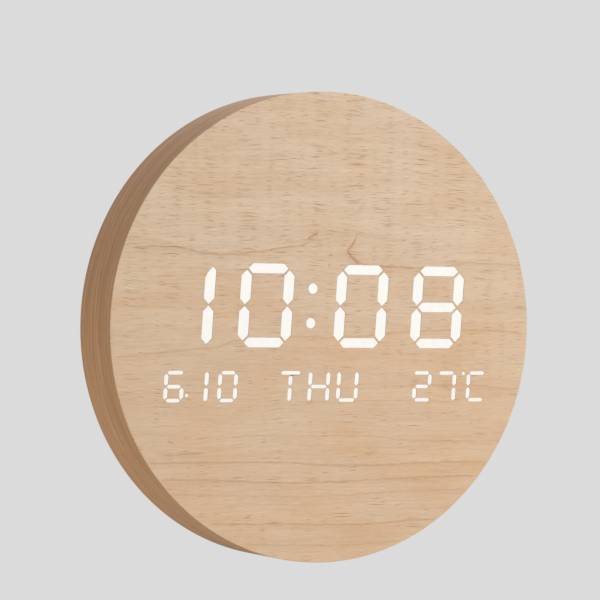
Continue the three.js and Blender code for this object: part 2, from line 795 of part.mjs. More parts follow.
function controlBoard() {
  const through = [FRONT - 1, 1];
  return cutAll(slab(CENTRE, CONTROL.width, CONTROL.height, [FRONT, 0]), [
    ...CONTROL_SCREWS.map((at) => screwHole(at, through)),
    ...CONTROL_PINS.map((at) => rod(at, PIN.radius + HOLE_CLEARANCE, through)),
  ]);
}

function tactSwitch() {
  const { side, height, boreFloor } = TACT_SWITCH;
  const bore = rod(CENTRE, PLUNGER.radius + HOLE_CLEARANCE, [boreFloor, height + 1]);
  return slab(CENTRE, side, side, [SEAT, height]).subtract(bore);
}

const plunger = () =>
  rod(CENTRE, PLUNGER.radius, [TACT_SWITCH.boreFloor + KEY.travel + SEAT, PLUNGER_TOP]);

/** Key cap with a flange that stops it behind the cover. */
function keyCap() {
  const flangeFront = FLANGE_REAR - KEY.flangeThickness;
  const flange = [flangeFront, FLANGE_REAR];
  return joinAll([
    rod(CENTRE, KEY.radius, [flangeFront, CAP_TOP], 20),
    rod(CENTRE, KEY.radius + KEY.flangeReach, flange, 20),
    rod(CENTRE, KEY.stemRadius, [PLUNGER_TOP + SEAT, FLANGE_REAR]),
  ]);
}

function slideSwitch() {
  const { width, height, rise, slotHeight, slotFloor } = SLIDE_SWITCH;
  const middle = { x: SLIDER.travel / 2, z: 0 };
  const slotWidth = SLIDER.stem + SLIDER.travel + 2 * FIT;
  return slab(middle, width, height, [SEAT, rise]).subtract(
    slab(middle, slotWidth, slotHeight, [slotFloor, rise + 1]),
  );
}

/** Slider with a flange that keeps the cover's slot closed at both ends of its travel. */
function alarmSlider() {
  const flangeFront = FLANGE_REAR - SLIDER.flangeThickness;
  const flangeWidth = SLIDER.width + 2 * SLIDER.travel + 4 * FIT;
  const stem = [SLIDE_SWITCH.slotFloor + FIT, FLANGE_REAR];
  return joinAll([
    slab(CENTRE, SLIDER.width, SLIDER.height, [flangeFront, CAP_TOP]),
    slab(CENTRE, flangeWidth, 2 * SLIDER.height, [flangeFront, FLANGE_REAR]),
    slab(CENTRE, SLIDER.stem, SLIDER.stem, stem),
  ]);
}

/** Round tray with a thumb cut below and a cut above for the contact strip. */
function coinHolder() {
  const outer = COIN.radius + COIN_HOLDER.rim;
  const inside = [COIN_HOLDER.floor, COIN_HOLDER.height + 1];
  const halfThumb = COIN_HOLDER.thumbWidth / 2;
  const halfContact = COIN_CONTACT.width / 2 + FIT;
  return cutAll(rod(CENTRE, outer, [SEAT, COIN_HOLDER.height], 32), [
    rod(CENTRE, COIN.radius + FIT, inside, 32),
    block([-halfThumb, halfThumb], inside, [-outer - 1, 0]),
    block([-halfContact, halfContact], inside, [0, outer + 1]),
  ]);
}

const coinCell = () =>
  rod(CENTRE, COIN.radius, [COIN_SEAT, COIN_SEAT + COIN.thickness], 32);

/** Bent strip over the coin cell's can, which it presses on in use. */
function coinContact() {
  const { width, thickness, gap, reach } = COIN_CONTACT;
  const xSpan = [-width / 2, width / 2];
  const inner = COIN.radius + 2 * FIT;
  const over = COIN_SEAT + COIN.thickness + gap;
  return joinAll([
    block(xSpan, [COIN_SEAT, over + thickness], [inner, inner + thickness]),
    block(xSpan, [over, over + thickness], [COIN.radius - reach, inner + thickness]),
  ]);
}

/** Power socket with its mouth downwards, about the mouth's middle. */
function powerSocket() {
  const { width, thickness, length, wall, mouth } = SOCKET;
  const box = (w, t, zSpan) => block([-w / 2, w / 2], [-t / 2, t / 2], zSpan);
  const hollow = box(width - 2 * wall, thickness - 2 * wall, [-1, mouth]);
  const tongue = box(SOCKET_TONGUE.width, SOCKET_TONGUE.thickness, [
    SOCKET_TONGUE.setBack,
    mouth + 1,
  ]);
  return box(width, thickness, [0, length]).subtract(hollow).add(tongue);
}

function buzzer() {
  const top = SEAT + BUZZER.height;
  const hole = rod(CENTRE, BUZZER.hole, [top - BUZZER.holeDepth, top + 1]);
  return rod(CENTRE, BUZZER.radius, [SEAT, top], 24).subtract(hole);
}

const capacitor = () =>
  rod(CENTRE, CAPACITOR.radius, [SEAT, SEAT + CAPACITOR.height], 16);

const microcontroller = () =>
  slab(CENTRE, CHIP.side, CHIP.side, [FRONT - SEAT - CHIP.height, FRONT - SEAT]);

function crystalCan() {
  const [x, z] = [CRYSTAL.width / 2, CRYSTAL.height / 2];
  return plate(chamfered(-x, x, -z, z, CRYSTAL.height / 3), [
    FRONT - SEAT - CRYSTAL.rise,
    FRONT - SEAT,
  ]);
}

function cableHeader() {
  const body = slab(
    { x: 0, z: HEADER_TOP - HEADER.height / 2 },
    RIBBON.width + 2 * HEADER.margin,
    HEADER.height,
    [FRONT - SEAT - HEADER.rise, FRONT - SEAT],
  );
  const slot = slab({ x: 0, z: HEADER_TOP }, RIBBON.width + 2 * FIT, 2 * HEADER.slotDepth, [
    RIBBON_Y - HEADER.slotWidth / 2,
    RIBBON_Y + HEADER.slotWidth / 2,
  ]);
  return body.subtract(slot);
}

/** Flat cable from the display board's back round and down into the header. */
function ribbonCable() {
  const startZ = HEADER_TOP + RIBBON.drop;
  const path = new THREE.CubicBezierCurve3(
    new THREE.Vector3(0, FRONT - WIRING_GAP + FIT, startZ),
    new THREE.Vector3(0, RIBBON_Y + 2, startZ),
    new THREE.Vector3(0, RIBBON_Y, startZ - RIBBON.drop / 3),
    new THREE.Vector3(0, RIBBON_Y, HEADER_TOP - RIBBON.entry),
  );
  const [across, through] = [RIBBON.width / 2, RIBBON.thickness / 2];
  const section = rectangle(-across, across, -through, through);
  return solid(
    new THREE.ExtrudeGeometry(
      new THREE.Shape(section.map(([u, v]) => new THREE.Vector2(u, v))),
      { steps: 16, bevelEnabled: false, extrudePath: path },
    ),
  );
}

/** Thermistor bead on two legs, held behind the vents beside the board. */
function temperatureProbe() {
  const edge = CONTROL.width / 2;
  const beadX = edge + PROBE.reach;
  const halfLeg = PROBE.leg / 2;
  const footEnd = edge - PROBE.footInset;
  const bead = new THREE.SphereGeometry(PROBE.radius, 12, 8);
  const legs = [-PROBE.legSpread, PROBE.legSpread].map((z) =>
    block(
      [footEnd - halfLeg, beadX],
      [PROBE.rise - halfLeg, PROBE.rise + halfLeg],
      [z - halfLeg, z + halfLeg],
    ),
  );
  const foot = block([footEnd - PROBE.foot, footEnd], [SEAT, PROBE.rise + halfLeg], [
    -PROBE.radius,
    PROBE.radius,
  ]);
  return joinAll([solid(bead.translate(beadX, PROBE.rise, 0)), ...legs, foot]);
}

// ---------------------------------------------------------------- assembly

/** Adds a group at a place to its parent. */
function addGroup(parent, x, y, z) {
  const group = new THREE.Group();
  group.position.set(x, y, z);
  parent.add(group);
  return group;
}

/** Adds a named mesh of a solid to a group, and returns it so that it can be placed. */
function addPart(group, name, body, material) {
  const mesh = new THREE.Mesh(geometryOf(body), material);
  mesh.name = name;
  group.add(mesh);
  return mesh;
}

const clock = new THREE.Group();

addPart(clock, "face_veneer", faceVeneer(), MAPLE_FACE);
addPart(clock, "edge_band", edgeBand(), MAPLE_EDGE);
addPart(clock, "case_hoop", caseHoop(), PLYWOOD);
addPart(clock, "front_panel", frontPanel(), PLYWOOD);

for (const module of MODULES) {
  addPart(clock, `${module.name}_diffuser`, diffuser(module), MILKY);
  addPart(clock, `${module.name}_reflector`, reflector(module), WHITE_PLASTIC);
}
addPart(clock, "display_board", displayBoard(), CIRCUIT_GREEN);
const displayScrewSeat = DISPLAY_REAR_Y + SEAT;
const displayScrew = screw(displayScrewSeat - PANEL_BACK_Y + PANEL_BITE);
DISPLAY_SCREWS.forEach(({ x, z }, i) => {
  const stack = addGroup(clock, art(x), 0, art(z));
  addPart(stack, `standoff_${i + 1}`, standoff(), WHITE_PLASTIC);
  const fixing = addPart(stack, `display_screw_${i + 1}`, displayScrew, ZINC_STEEL);
  fixing.position.y = displayScrewSeat;
});

addPart(clock, "back_cover", backCover(), COVER_PLASTIC);
addPart(clock, "connector_bay", connectorBay(), COVER_PLASTIC);
addPart(clock, "battery_door", batteryDoor(), COVER_PLASTIC);
addPart(clock, "hanger_plate", hangerPlate(), ZINC_STEEL);
const coverScrew = screw(COVER_SCREW_LENGTH);
COVER_SCREWS.forEach(({ x, z }, i) => {
  const fixing = addPart(clock, `cover_screw_${i + 1}`, coverScrew, ZINC_STEEL);
  fixing.position.set(x, -SCREW.headHeight - SEAT, z);
});
const hangerScrewSeat = HANGER.thickness - HANGER.drop + SEAT / 2;
const hangerScrew = screw(HANGER_SCREW.length, -hangerScrewSeat - SEAT / 2);
HANGER_SCREWS.forEach(({ x, z }, i) => {
  const fixing = addPart(clock, `hanger_screw_${i + 1}`, hangerScrew, ZINC_STEEL);
  fixing.position.set(x, hangerScrewSeat, z);
});

const controls = addGroup(clock, 0, CONTROL_REAR_Y, CONTROL_MID_Z);
addPart(controls, "control_board", controlBoard(), CIRCUIT_GREEN);
const controlScrew = screw(CONTROL_SCREW_LENGTH);
CONTROL_SCREWS.forEach(({ x, z }, i) => {
  const fixing = addPart(controls, `control_screw_${i + 1}`, controlScrew, ZINC_STEEL);
  fixing.position.set(x, FRONT - SEAT, z);
  fixing.rotation.x = Math.PI; // driven from the front, towards the cover
});
for (const { name, x, z } of KEYS) {
  const key = addGroup(controls, x, 0, z);
  addPart(key, `${name}_tact_switch`, tactSwitch(), CHIP_BLACK);
  addPart(key, `${name}_plunger`, plunger(), WHITE_PLASTIC);
  addPart(key, `${name}_button_cap`, keyCap(), KEY_PLASTIC);
}
const alarmSwitch = addGroup(controls, SLIDER_AT.x, 0, SLIDER_AT.z);
addPart(alarmSwitch, "alarm_slide_switch", slideSwitch(), NICKEL_PLATE);
addPart(alarmSwitch, "alarm_slider", alarmSlider(), KEY_PLASTIC);

const backup = addGroup(controls, COIN_AT.x, 0, COIN_AT.z);
addPart(backup, "coin_cell_holder", coinHolder(), CHIP_BLACK);
addPart(backup, "coin_cell", coinCell(), NICKEL_PLATE);
addPart(backup, "coin_cell_contact", coinContact(), BRASS);

const socketZ = BAY_TOP_Z - FIT - BAY.wall - CONTROL_MID_Z;
const inlet = addGroup(controls, 0, PLUG_Y - CONTROL_REAR_Y, socketZ);
addPart(inlet, "power_socket", powerSocket(), NICKEL_PLATE);
const soldered = [
  ["alarm_buzzer", buzzer(), CHIP_BLACK, BUZZER_AT],
  ["supply_capacitor", capacitor(), CHIP_BLACK, CAPACITOR_AT],
  ["microcontroller", microcontroller(), CHIP_BLACK, CHIP_AT],
  ["clock_crystal", crystalCan(), NICKEL_PLATE, CRYSTAL_AT],
];
for (const [name, body, material, { x, z }] of soldered) {
  addPart(controls, name, body, material).position.set(x, 0, z);
}
addPart(controls, "cable_header", cableHeader(), WHITE_PLASTIC);
addPart(controls, "ribbon_cable", ribbonCable(), CABLE_GREY);
addPart(controls, "temperature_probe", temperatureProbe(), CHIP_BLACK);

export default clock;
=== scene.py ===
"""Looks of a round wooden LED wall clock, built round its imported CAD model.

Lengths are in millimetres in this file, and Piece turns them into metres. X runs right as the
face is read, Y runs from the face into the wall, and Z is up. The wall plane is y = 0.
"""

import logging
import math
from collections.abc import Callable, Iterable, Sequence
from dataclasses import dataclass, field
from enum import Enum

import bmesh
import bpy
from mathutils import Matrix, Vector

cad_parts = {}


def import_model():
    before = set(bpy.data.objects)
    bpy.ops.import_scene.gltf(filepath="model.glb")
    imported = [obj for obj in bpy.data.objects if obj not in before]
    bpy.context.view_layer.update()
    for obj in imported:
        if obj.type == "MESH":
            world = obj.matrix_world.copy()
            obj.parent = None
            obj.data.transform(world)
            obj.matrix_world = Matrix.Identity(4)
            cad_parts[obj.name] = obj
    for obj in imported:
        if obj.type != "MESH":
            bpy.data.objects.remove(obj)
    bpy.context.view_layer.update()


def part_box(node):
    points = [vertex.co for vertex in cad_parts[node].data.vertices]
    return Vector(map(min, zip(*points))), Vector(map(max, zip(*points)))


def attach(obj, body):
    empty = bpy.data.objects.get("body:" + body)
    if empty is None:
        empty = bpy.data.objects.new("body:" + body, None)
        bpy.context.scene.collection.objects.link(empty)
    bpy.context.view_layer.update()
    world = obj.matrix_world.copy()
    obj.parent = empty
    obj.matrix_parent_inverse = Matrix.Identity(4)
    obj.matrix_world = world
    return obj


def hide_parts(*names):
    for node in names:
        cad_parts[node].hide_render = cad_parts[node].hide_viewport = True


MM = 0.001
FINE_SIDES = 288  # flats that stand for the drum's large circles
ROUND_SIDES = 64
SMALL_SIDES = 32
SPARE = 1  # how far a cutter reaches past what it cuts
FLANGE_REAR = -3.3  # where the flanges and tongues behind the cover stop

log = logging.getLogger("clock")

Colour = tuple[float, float, float]
Span = tuple[float, float]
Value = object  # a number, a colour or a node socket


# ------------------------------------------------------------------ places


@dataclass(frozen=True)
class Place:
    """A place on the clock as its face or its back is looked at."""

    x: float
    z: float

    def moved(self, dx: float, dz: float) -> "Place":
        """This place, moved along X and Z."""
        return Place(self.x + dx, self.z + dz)


MIDDLE = Place(0, 0)


@dataclass(frozen=True)
class Box:
    """The box of a CAD node."""

    x: Span
    y: Span
    z: Span

    @classmethod
    def of(cls, node: str) -> "Box":
        """The box of a named CAD node."""
        low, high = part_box(node)
        return cls(*((low[i] / MM, high[i] / MM) for i in range(3)))

    @property
    def middle(self) -> Place:
        """The middle of the box in the XZ plane."""
        return Place(sum(self.x) / 2, sum(self.z) / 2)

    @property
    def radius(self) -> float:
        """Half the box's height."""
        return (self.z[1] - self.z[0]) / 2

    @property
    def size(self) -> tuple[float, float]:
        """The box's width and height."""
        return self.x[1] - self.x[0], self.z[1] - self.z[0]


# ------------------------------------------------------------------ modelling


class Axis(Enum):
    """An axis of the frame, by its place in a vector."""

    X = 0
    Y = 1
    Z = 2


class Select(Enum):
    """What an edit-mode step selects."""

    FACES = "FACE"
    EDGES = "EDGE"
    VERTICES = "VERT"


def clear_selection() -> None:
    """Leaves edit mode and deselects every object."""
    if bpy.context.mode != "OBJECT":
        bpy.ops.object.mode_set(mode="OBJECT")
    bpy.ops.object.select_all(action="DESELECT")


def across(normal: Vector, axis: Axis, sign: int) -> bool:
    """Whether a normal points along an axis, in the given sense."""
    return normal[axis.value] * sign > 0.99


def inset(width: float, depth: float = 0.0) -> Callable[[], object]:
    """A step that insets the selected faces by a width and raises them by a depth."""
    return lambda: bpy.ops.mesh.inset(thickness=width * MM, depth=depth * MM)


def drawn(x: float, y: float, z: float) -> Callable[[], object]:
    """A step that draws the selected faces out along a vector."""
    shift = {"value": (x * MM, y * MM, z * MM)}
    return lambda: bpy.ops.mesh.extrude_region_move(TRANSFORM_OT_translate=shift)


def scaled(share: float) -> Callable[[], object]:
    """A step that scales the selection towards the Y axis."""
    return lambda: bpy.ops.transform.resize(value=(share, 1, share), center_override=(0, 0, 0))


def half_turn(pivot: tuple[float, float, float], axis: Axis) -> Callable[[], object]:
    """A step that turns the selection half round an axis through a point in metres.

    Args:
        pivot: The point.
        axis: The axis.

    Returns:
        The step.
    """
    return lambda: bpy.ops.transform.rotate(
        value=math.pi, orient_axis=axis.name, center_override=pivot
    )


def discard(obj: bpy.types.Object) -> None:
    """Removes an object together with its mesh.

    Args:
        obj: The object.
    """
    mesh = obj.data
    bpy.data.objects.remove(obj)
    bpy.data.meshes.remove(mesh)


class Piece:
    """A mesh in the making: a primitive at its place, shaped in edit mode and by modifiers."""

    def __init__(self, obj: bpy.types.Object) -> None:
        """Takes an object whose place is already in its mesh."""
        self.obj = obj

    # -------------------------------------------------------------- starts

    @classmethod
    def _adopt(cls, name: str) -> "Piece":
        """Names the primitive that was just added and moves its place into its mesh.

        Args:
            name: The object's name.

        Returns:
            The new piece.
        """
        obj = bpy.context.active_object
        obj.name = obj.data.name = name
        bpy.ops.object.transform_apply(location=True, rotation=True, scale=True)
        return cls(obj)

    @classmethod
    def disc(
        cls, name: str, at: Place, radius: float, y: Span, sides: int = ROUND_SIDES
    ) -> "Piece":
        """A round bar along Y.

        Args:
            name: The object's name.
            at: Its middle.
            radius: Its radius.
            y: Its front and rear.
            sides: How many flats it has.

        Returns:
            The new piece.
        """
        clear_selection()
        bpy.ops.mesh.primitive_cylinder_add(
            vertices=sides,
            radius=radius * MM,
            depth=(y[1] - y[0]) * MM,
            location=(at.x * MM, sum(y) / 2 * MM, at.z * MM),
            rotation=(math.pi / 2, 0, 0),
        )
        return cls._adopt(name)

    @classmethod
    def block(cls, name: str, x: Span, y: Span, z: Span) -> "Piece":
        """A box given by its spans.

        Args:
            name: The object's name.
            x: Its span along X.
            y: Its front and rear.
            z: Its span along Z.

        Returns:
            The new piece.
        """
        clear_selection()
        spans = (x, y, z)
        bpy.ops.mesh.primitive_cube_add(size=1, location=[sum(s) / 2 * MM for s in spans])
        bpy.context.active_object.scale = [(s[1] - s[0]) * MM for s in spans]
        return cls._adopt(name)

    @classmethod
    def slab(cls, name: str, at: Place, size: tuple[float, float], y: Span) -> "Piece":
        """A box round a place, of a width and a height, over a Y span.

        Args:
            name: The object's name.
            at: Its middle.
            size: Its width and height.
            y: Its front and rear.

        Returns:
            The new piece.
        """
        width, height = size
        return cls.block(
            name,
            (at.x - width / 2, at.x + width / 2),
            y,
            (at.z - height / 2, at.z + height / 2),
        )

    @classmethod
    def hoop(cls, name: str, radius: float, levels: Sequence[float]) -> "Piece":
        """An open tube about the Y axis, with a ring of edges at each level.

        Args:
            name: The object's name.
            radius: The tube's radius.
            levels: The Y of each ring, from the front to the rear.

        Returns:
            The new piece, with no thickness yet.
        """
        clear_selection()
        bpy.ops.mesh.primitive_circle_add(
            vertices=FINE_SIDES,
            radius=radius * MM,
            location=(0, levels[0] * MM, 0),
            rotation=(math.pi / 2, 0, 0),
        )
        piece = cls._adopt(name)
        for near, far in zip(levels, levels[1:]):
            piece.on(
                Select.EDGES,
                lambda edge, near=near: all(
                    abs(v.co.y - near * MM) < 1e-6 for v in edge.verts
                ),
                lambda near=near, far=far: bpy.ops.mesh.extrude_edges_move(
                    TRANSFORM_OT_translate={"value": (0, (far - near) * MM, 0)}
                ),
            )
        return piece

    @classmethod
    def copy_of(cls, name: str, node: str) -> "Piece":
        """A copy of a CAD node with its loose triangles merged and its flats made whole.

        Args:
            name: The object's name.
            node: The CAD node's name.

        Returns:
            The new piece.
        """
        source = bpy.data.objects[node]
        obj = bpy.data.objects.new(name, source.data.copy())
        obj.data.materials.clear()
        bpy.context.scene.collection.objects.link(obj)
        piece = cls(obj)
        piece.on_all(lambda: bpy.ops.mesh.remove_doubles(threshold=0.001 * MM))
        piece.on_all(lambda: bpy.ops.mesh.dissolve_limited(angle_limit=math.radians(0.5)))
        return piece

    def twin(self, name: str, shift: tuple[float, float, float]) -> "Piece":
        """A copy with its own mesh, moved from the original.

        Args:
            name: The copy's name.
            shift: How far it is moved.

        Returns:
            The copy.
        """
        obj = self.obj.copy()
        obj.data = self.obj.data.copy()
        obj.name = obj.data.name = name
        bpy.context.scene.collection.objects.link(obj)
        obj.data.transform(Matrix.Translation(Vector(shift) * MM))
        return Piece(obj)

    # -------------------------------------------------------------- edit mode

    def _focus(self) -> None:
        """Makes the piece the active object and the only selected one."""
        clear_selection()
        self.obj.select_set(True)
        bpy.context.view_layer.objects.active = self.obj

    def on(
        self,
        kind: Select,
        wanted: Callable[[object], bool],
        *steps: Callable[[], object],
    ) -> "Piece":
        """Runs edit-mode steps on the elements that a test picks.

        Args:
            kind: What the test is given.
            wanted: The test, which reads an element's place in metres.
            *steps: Operators to run, in order.

        Returns:
            The piece itself.
        """
        self._focus()
        bpy.ops.object.mode_set(mode="EDIT")
        bpy.ops.mesh.select_mode(type=kind.value)
        bpy.ops.mesh.select_all(action="DESELECT")
        mesh = bmesh.from_edit_mesh(self.obj.data)
        elements = {
            Select.FACES: mesh.faces,
            Select.EDGES: mesh.edges,
            Select.VERTICES: mesh.verts,
        }[kind]
        for element in elements:
            element.select_set(bool(wanted(element)))
        mesh.select_flush_mode()
        bmesh.update_edit_mesh(self.obj.data)
        for step in steps:
            step()
        bpy.ops.object.mode_set(mode="OBJECT")
        return self

    def on_all(self, *steps: Callable[[], object]) -> "Piece":
        """Runs edit-mode steps on the whole mesh."""
        return self.on(Select.VERTICES, lambda _: True, *steps)

    def on_cap(self, y: float, *steps: Callable[[], object]) -> "Piece":
        """Runs edit-mode steps on the faces that lie flat at a Y level.

        Args:
            y: The level.
            *steps: Operators to run, in order.

        Returns:
            The piece itself.
        """
        return self.on(
            Select.FACES,
            lambda face: all(abs(v.co.y - y * MM) < 2e-6 for v in face.verts),
            *steps,
        )

    def round_rim(self, y: float, width: float, segments: int = 3) -> "Piece":
        """Rounds the edges round the flat faces at a Y level.

        Args:
            y: The level.
            width: How far from each edge the rounding starts.
            segments: How many strips round each edge.

        Returns:
            The piece itself.
        """
        return self.on(
            Select.EDGES,
            lambda edge: all(abs(v.co.y - y * MM) < 2e-6 for v in edge.verts)
            and edge.calc_face_angle(0) > math.radians(30),
            lambda: bpy.ops.mesh.bevel(offset=width * MM, segments=segments, profile=0.5),
        )

    def round_corners(self, radius: float, axis: Axis = Axis.Y, segments: int = 8) -> "Piece":
        """Rounds the edges that run along an axis.

        Args:
            radius: The radius of the rounding.
            axis: The axis.
            segments: How many strips round each edge.

        Returns:
            The piece itself.
        """
        return self.on(
            Select.EDGES,
            lambda edge: abs((edge.verts[1].co - edge.verts[0].co).normalized()[axis.value])
            > 0.99
            and edge.calc_face_angle(0) > math.radians(30),
            lambda: bpy.ops.mesh.bevel(offset=radius * MM, segments=segments, profile=0.5),
        )

    # -------------------------------------------------------------- modifiers

    def modify(self, kind: str, **settings: object) -> "Piece":
        """Adds a modifier with its settings and applies it.

        Args:
            kind: The modifier's type.
            **settings: Its settings by name.

        Returns:
            The piece itself.
        """
        self._focus()
        modifier = self.obj.modifiers.new(kind.title(), kind)
        for name, value in settings.items():
            setattr(modifier, name, value)
        bpy.ops.object.modifier_apply(modifier=modifier.name)
        return self

    def _combine(self, operation: str, others: Iterable["Piece"]) -> "Piece":
        """Applies one Boolean for each other piece and removes that piece.

        Args:
            operation: The Boolean's operation.
            others: The other pieces.

        Returns:
            The piece itself.
        """
        for other in others:
            self.modify("BOOLEAN", operation=operation, solver="EXACT", object=other.obj)
            discard(other.obj)
        return self

    def cut(self, *others: "Piece") -> "Piece":
        """Takes the other pieces away from this one."""
        return self._combine("DIFFERENCE", others)

    def join(self, *others: "Piece") -> "Piece":
        """Makes one closed solid of this piece and the others."""
        return self._combine("UNION", others)

    def keep_inside(self, *others: "Piece") -> "Piece":
        """Keeps only what lies inside the other pieces."""
        return self._combine("INTERSECT", others)

    def soften(self, width: float, segments: int = 2, angle: float = 35) -> "Piece":
        """Rounds every edge that is sharper than an angle in degrees.

        Args:
            width: How far from each edge the rounding starts.
            segments: How many strips round each edge.
            angle: The angle.

        Returns:
            The piece itself.
        """
        return self.modify(
            "BEVEL",
            width=width * MM,
            segments=segments,
            limit_method="ANGLE",
            angle_limit=math.radians(angle),
        )

    # -------------------------------------------------------------- finishing

    def paint(self, *materials: bpy.types.Material) -> "Piece":
        """Gives the piece its materials, the first of which covers all of it.

        Args:
            *materials: The materials, in the order of their slots.

        Returns:
            The piece itself.
        """
        self.obj.data.materials.clear()
        for material in materials:
            self.obj.data.materials.append(material)
        return self

    def repaint(self, slot: int, wanted: Callable[[bmesh.types.BMFace], bool]) -> "Piece":
        """Gives the faces that a test picks the material of a slot."""
        self.obj.active_material_index = slot
        return self.on(Select.FACES, wanted, lambda: bpy.ops.object.material_slot_assign())

    def hand_in(
        self, body: str, slot: str, replaced: Sequence[str] = (), smooth: float = 32
    ) -> "Piece":
        """Smooths the piece and makes it part of the clock.

        Args:
            body: The CAD body that it moves with.
            slot: Not used.
            replaced: The CAD nodes that it stands for.
            smooth: The angle in degrees up to which an edge is shaded smooth.

        Returns:
            The piece itself.
        """
        self._focus()
        bpy.ops.object.shade_smooth_by_angle(angle=math.radians(smooth))
        self.modify("WEIGHTED_NORMAL", keep_sharp=True)
        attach(self.obj, body)
        if replaced:
            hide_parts(*replaced)
        log.info("%s: %d faces, on %s", self.obj.name, len(self.obj.data.polygons), body)
        return self


# ------------------------------------------------------------------ shader writing


class Sheet:
    """A node tree being written: adds nodes and joins them."""

    def __init__(self, tree: bpy.types.NodeTree) -> None:
        """Takes an empty tree."""
        self.tree = tree

    def node(self, kind: str, **settings: object) -> bpy.types.Node:
        """Adds a node of a kind, with its own settings.

        Args:
            kind: The node's type.
            **settings: Its settings by name.

        Returns:
            The node.
        """
        node = self.tree.nodes.new(kind)
        for name, value in settings.items():
            setattr(node, name, value)
        return node

    def feed(self, socket: bpy.types.NodeSocket, value: Value) -> None:
        """Joins a socket to another, or sets its own value.

        Args:
            socket: The socket that takes the value.
            value: A socket, a number or a colour.
        """
        if isinstance(value, bpy.types.NodeSocket):
            self.tree.links.new(value, socket)
        elif isinstance(value, (tuple, list)) and socket.type == "RGBA":
            socket.default_value = (*value[:3], 1)
        else:
            socket.default_value = value

    def math(self, operation: str, *values: Value, clamp: bool = False) -> Value:
        """The result of a Math node.

        Args:
            operation: The operation's name.
            *values: Its inputs, in order.
            clamp: Whether the result is held between 0 and 1.

        Returns:
            The result.
        """
        node = self.node("ShaderNodeMath", operation=operation, use_clamp=clamp)
        for socket, value in zip(node.inputs, values):
            self.feed(socket, value)
        return node.outputs[0]

    def vector(self, operation: str, *values: Value, **named: Value) -> Value:
        """The result of a Vector Math node.

        Args:
            operation: The operation's name.
            *values: Its inputs, in order.
            **named: More inputs, by name.

        Returns:
            The result.
        """
        node = self.node("ShaderNodeVectorMath", operation=operation)
        for socket, value in zip(node.inputs, values):
            self.feed(socket, value)
        for name, value in named.items():
            self.feed(node.inputs[name], value)
        return node.outputs["Vector"]

    def combine(self, x: Value, y: Value, z: Value = 0.0) -> Value:
        """A vector of three values.

        Args:
            x: The first.
            y: The second.
            z: The third.

        Returns:
            The vector.
        """
        node = self.node("ShaderNodeCombineXYZ")
        for socket, value in zip(node.inputs, (x, y, z)):
            self.feed(socket, value)
        return node.outputs[0]

    def separate(self, vector: Value) -> tuple[Value, Value, Value]:
        """The three values of a vector.

        Args:
            vector: The vector.

        Returns:
            The three values.
        """
        node = self.node("ShaderNodeSeparateXYZ")
        self.feed(node.inputs[0], vector)
        return tuple(node.outputs)

    def noise(
        self, vector: Value, scale: Value = 1.0, detail: float = 2, roughness: float = 0.5
    ) -> Value:
        """The value of a Noise Texture, from 0 to 1.

        Args:
            vector: Where the noise is read.
            scale: Its scale.
            detail: How many octaves it has.
            roughness: How strong the finer octaves are.

        Returns:
            The noise.
        """
        node = self.node("ShaderNodeTexNoise")
        self.feed(node.inputs["Vector"], vector)
        self.feed(node.inputs["Scale"], scale)
        self.feed(node.inputs["Detail"], detail)
        self.feed(node.inputs["Roughness"], roughness)
        return node.outputs[0]

    def smooth(
        self, value: Value, low: Value, high: Value, start: Value = 0.0, end: Value = 1.0
    ) -> Value:
        """A value carried smoothly from one range to another.

        Args:
            value: The value.
            low: Where the first range starts.
            high: Where it ends.
            start: Where the second range starts.
            end: Where it ends.

        Returns:
            The carried value.
        """
        node = self.node("ShaderNodeMapRange", interpolation_type="SMOOTHSTEP")
        for socket, number in zip(node.inputs, (value, low, high, start, end)):
            self.feed(socket, number)
        return node.outputs[0]

    def mix(self, share: Value, first: Value, second: Value, blend: str = "MIX") -> Value:
        """Two colours mixed by a share of the second.

        Args:
            share: The second colour's share.
            first: The first colour.
            second: The second colour.
            blend: How they are blended.

        Returns:
            The mixed colour.
        """
        node = self.node("ShaderNodeMix", data_type="RGBA", blend_type=blend)
        self.feed(node.inputs[0], share)
        self.feed(node.inputs[6], first)
        self.feed(node.inputs[7], second)
        return node.outputs[2]

    def place(self) -> Value:
        """Object coordinates in millimetres."""
        node = self.node("ShaderNodeTexCoord")
        return self.vector("SCALE", node.outputs["Object"], Scale=1 / MM)

    def stretched(self, vector: Value, lengths: tuple[float, float, float]) -> Value:
        """A vector measured in a length of its own along each axis."""
        return self.vector("DIVIDE", vector, lengths)

    def effect(self, tree: bpy.types.NodeTree, **values: Value) -> bpy.types.Node:
        """Places a shared node group, with its inputs given by name.

        Args:
            tree: The group's tree.
            **values: Its inputs, by their names in lower case.

        Returns:
            The group's node.
        """
        node = self.node("ShaderNodeGroup", node_tree=tree)
        for name, value in values.items():
            self.feed(node.inputs[name.replace("_", " ").capitalize()], value)
        return node


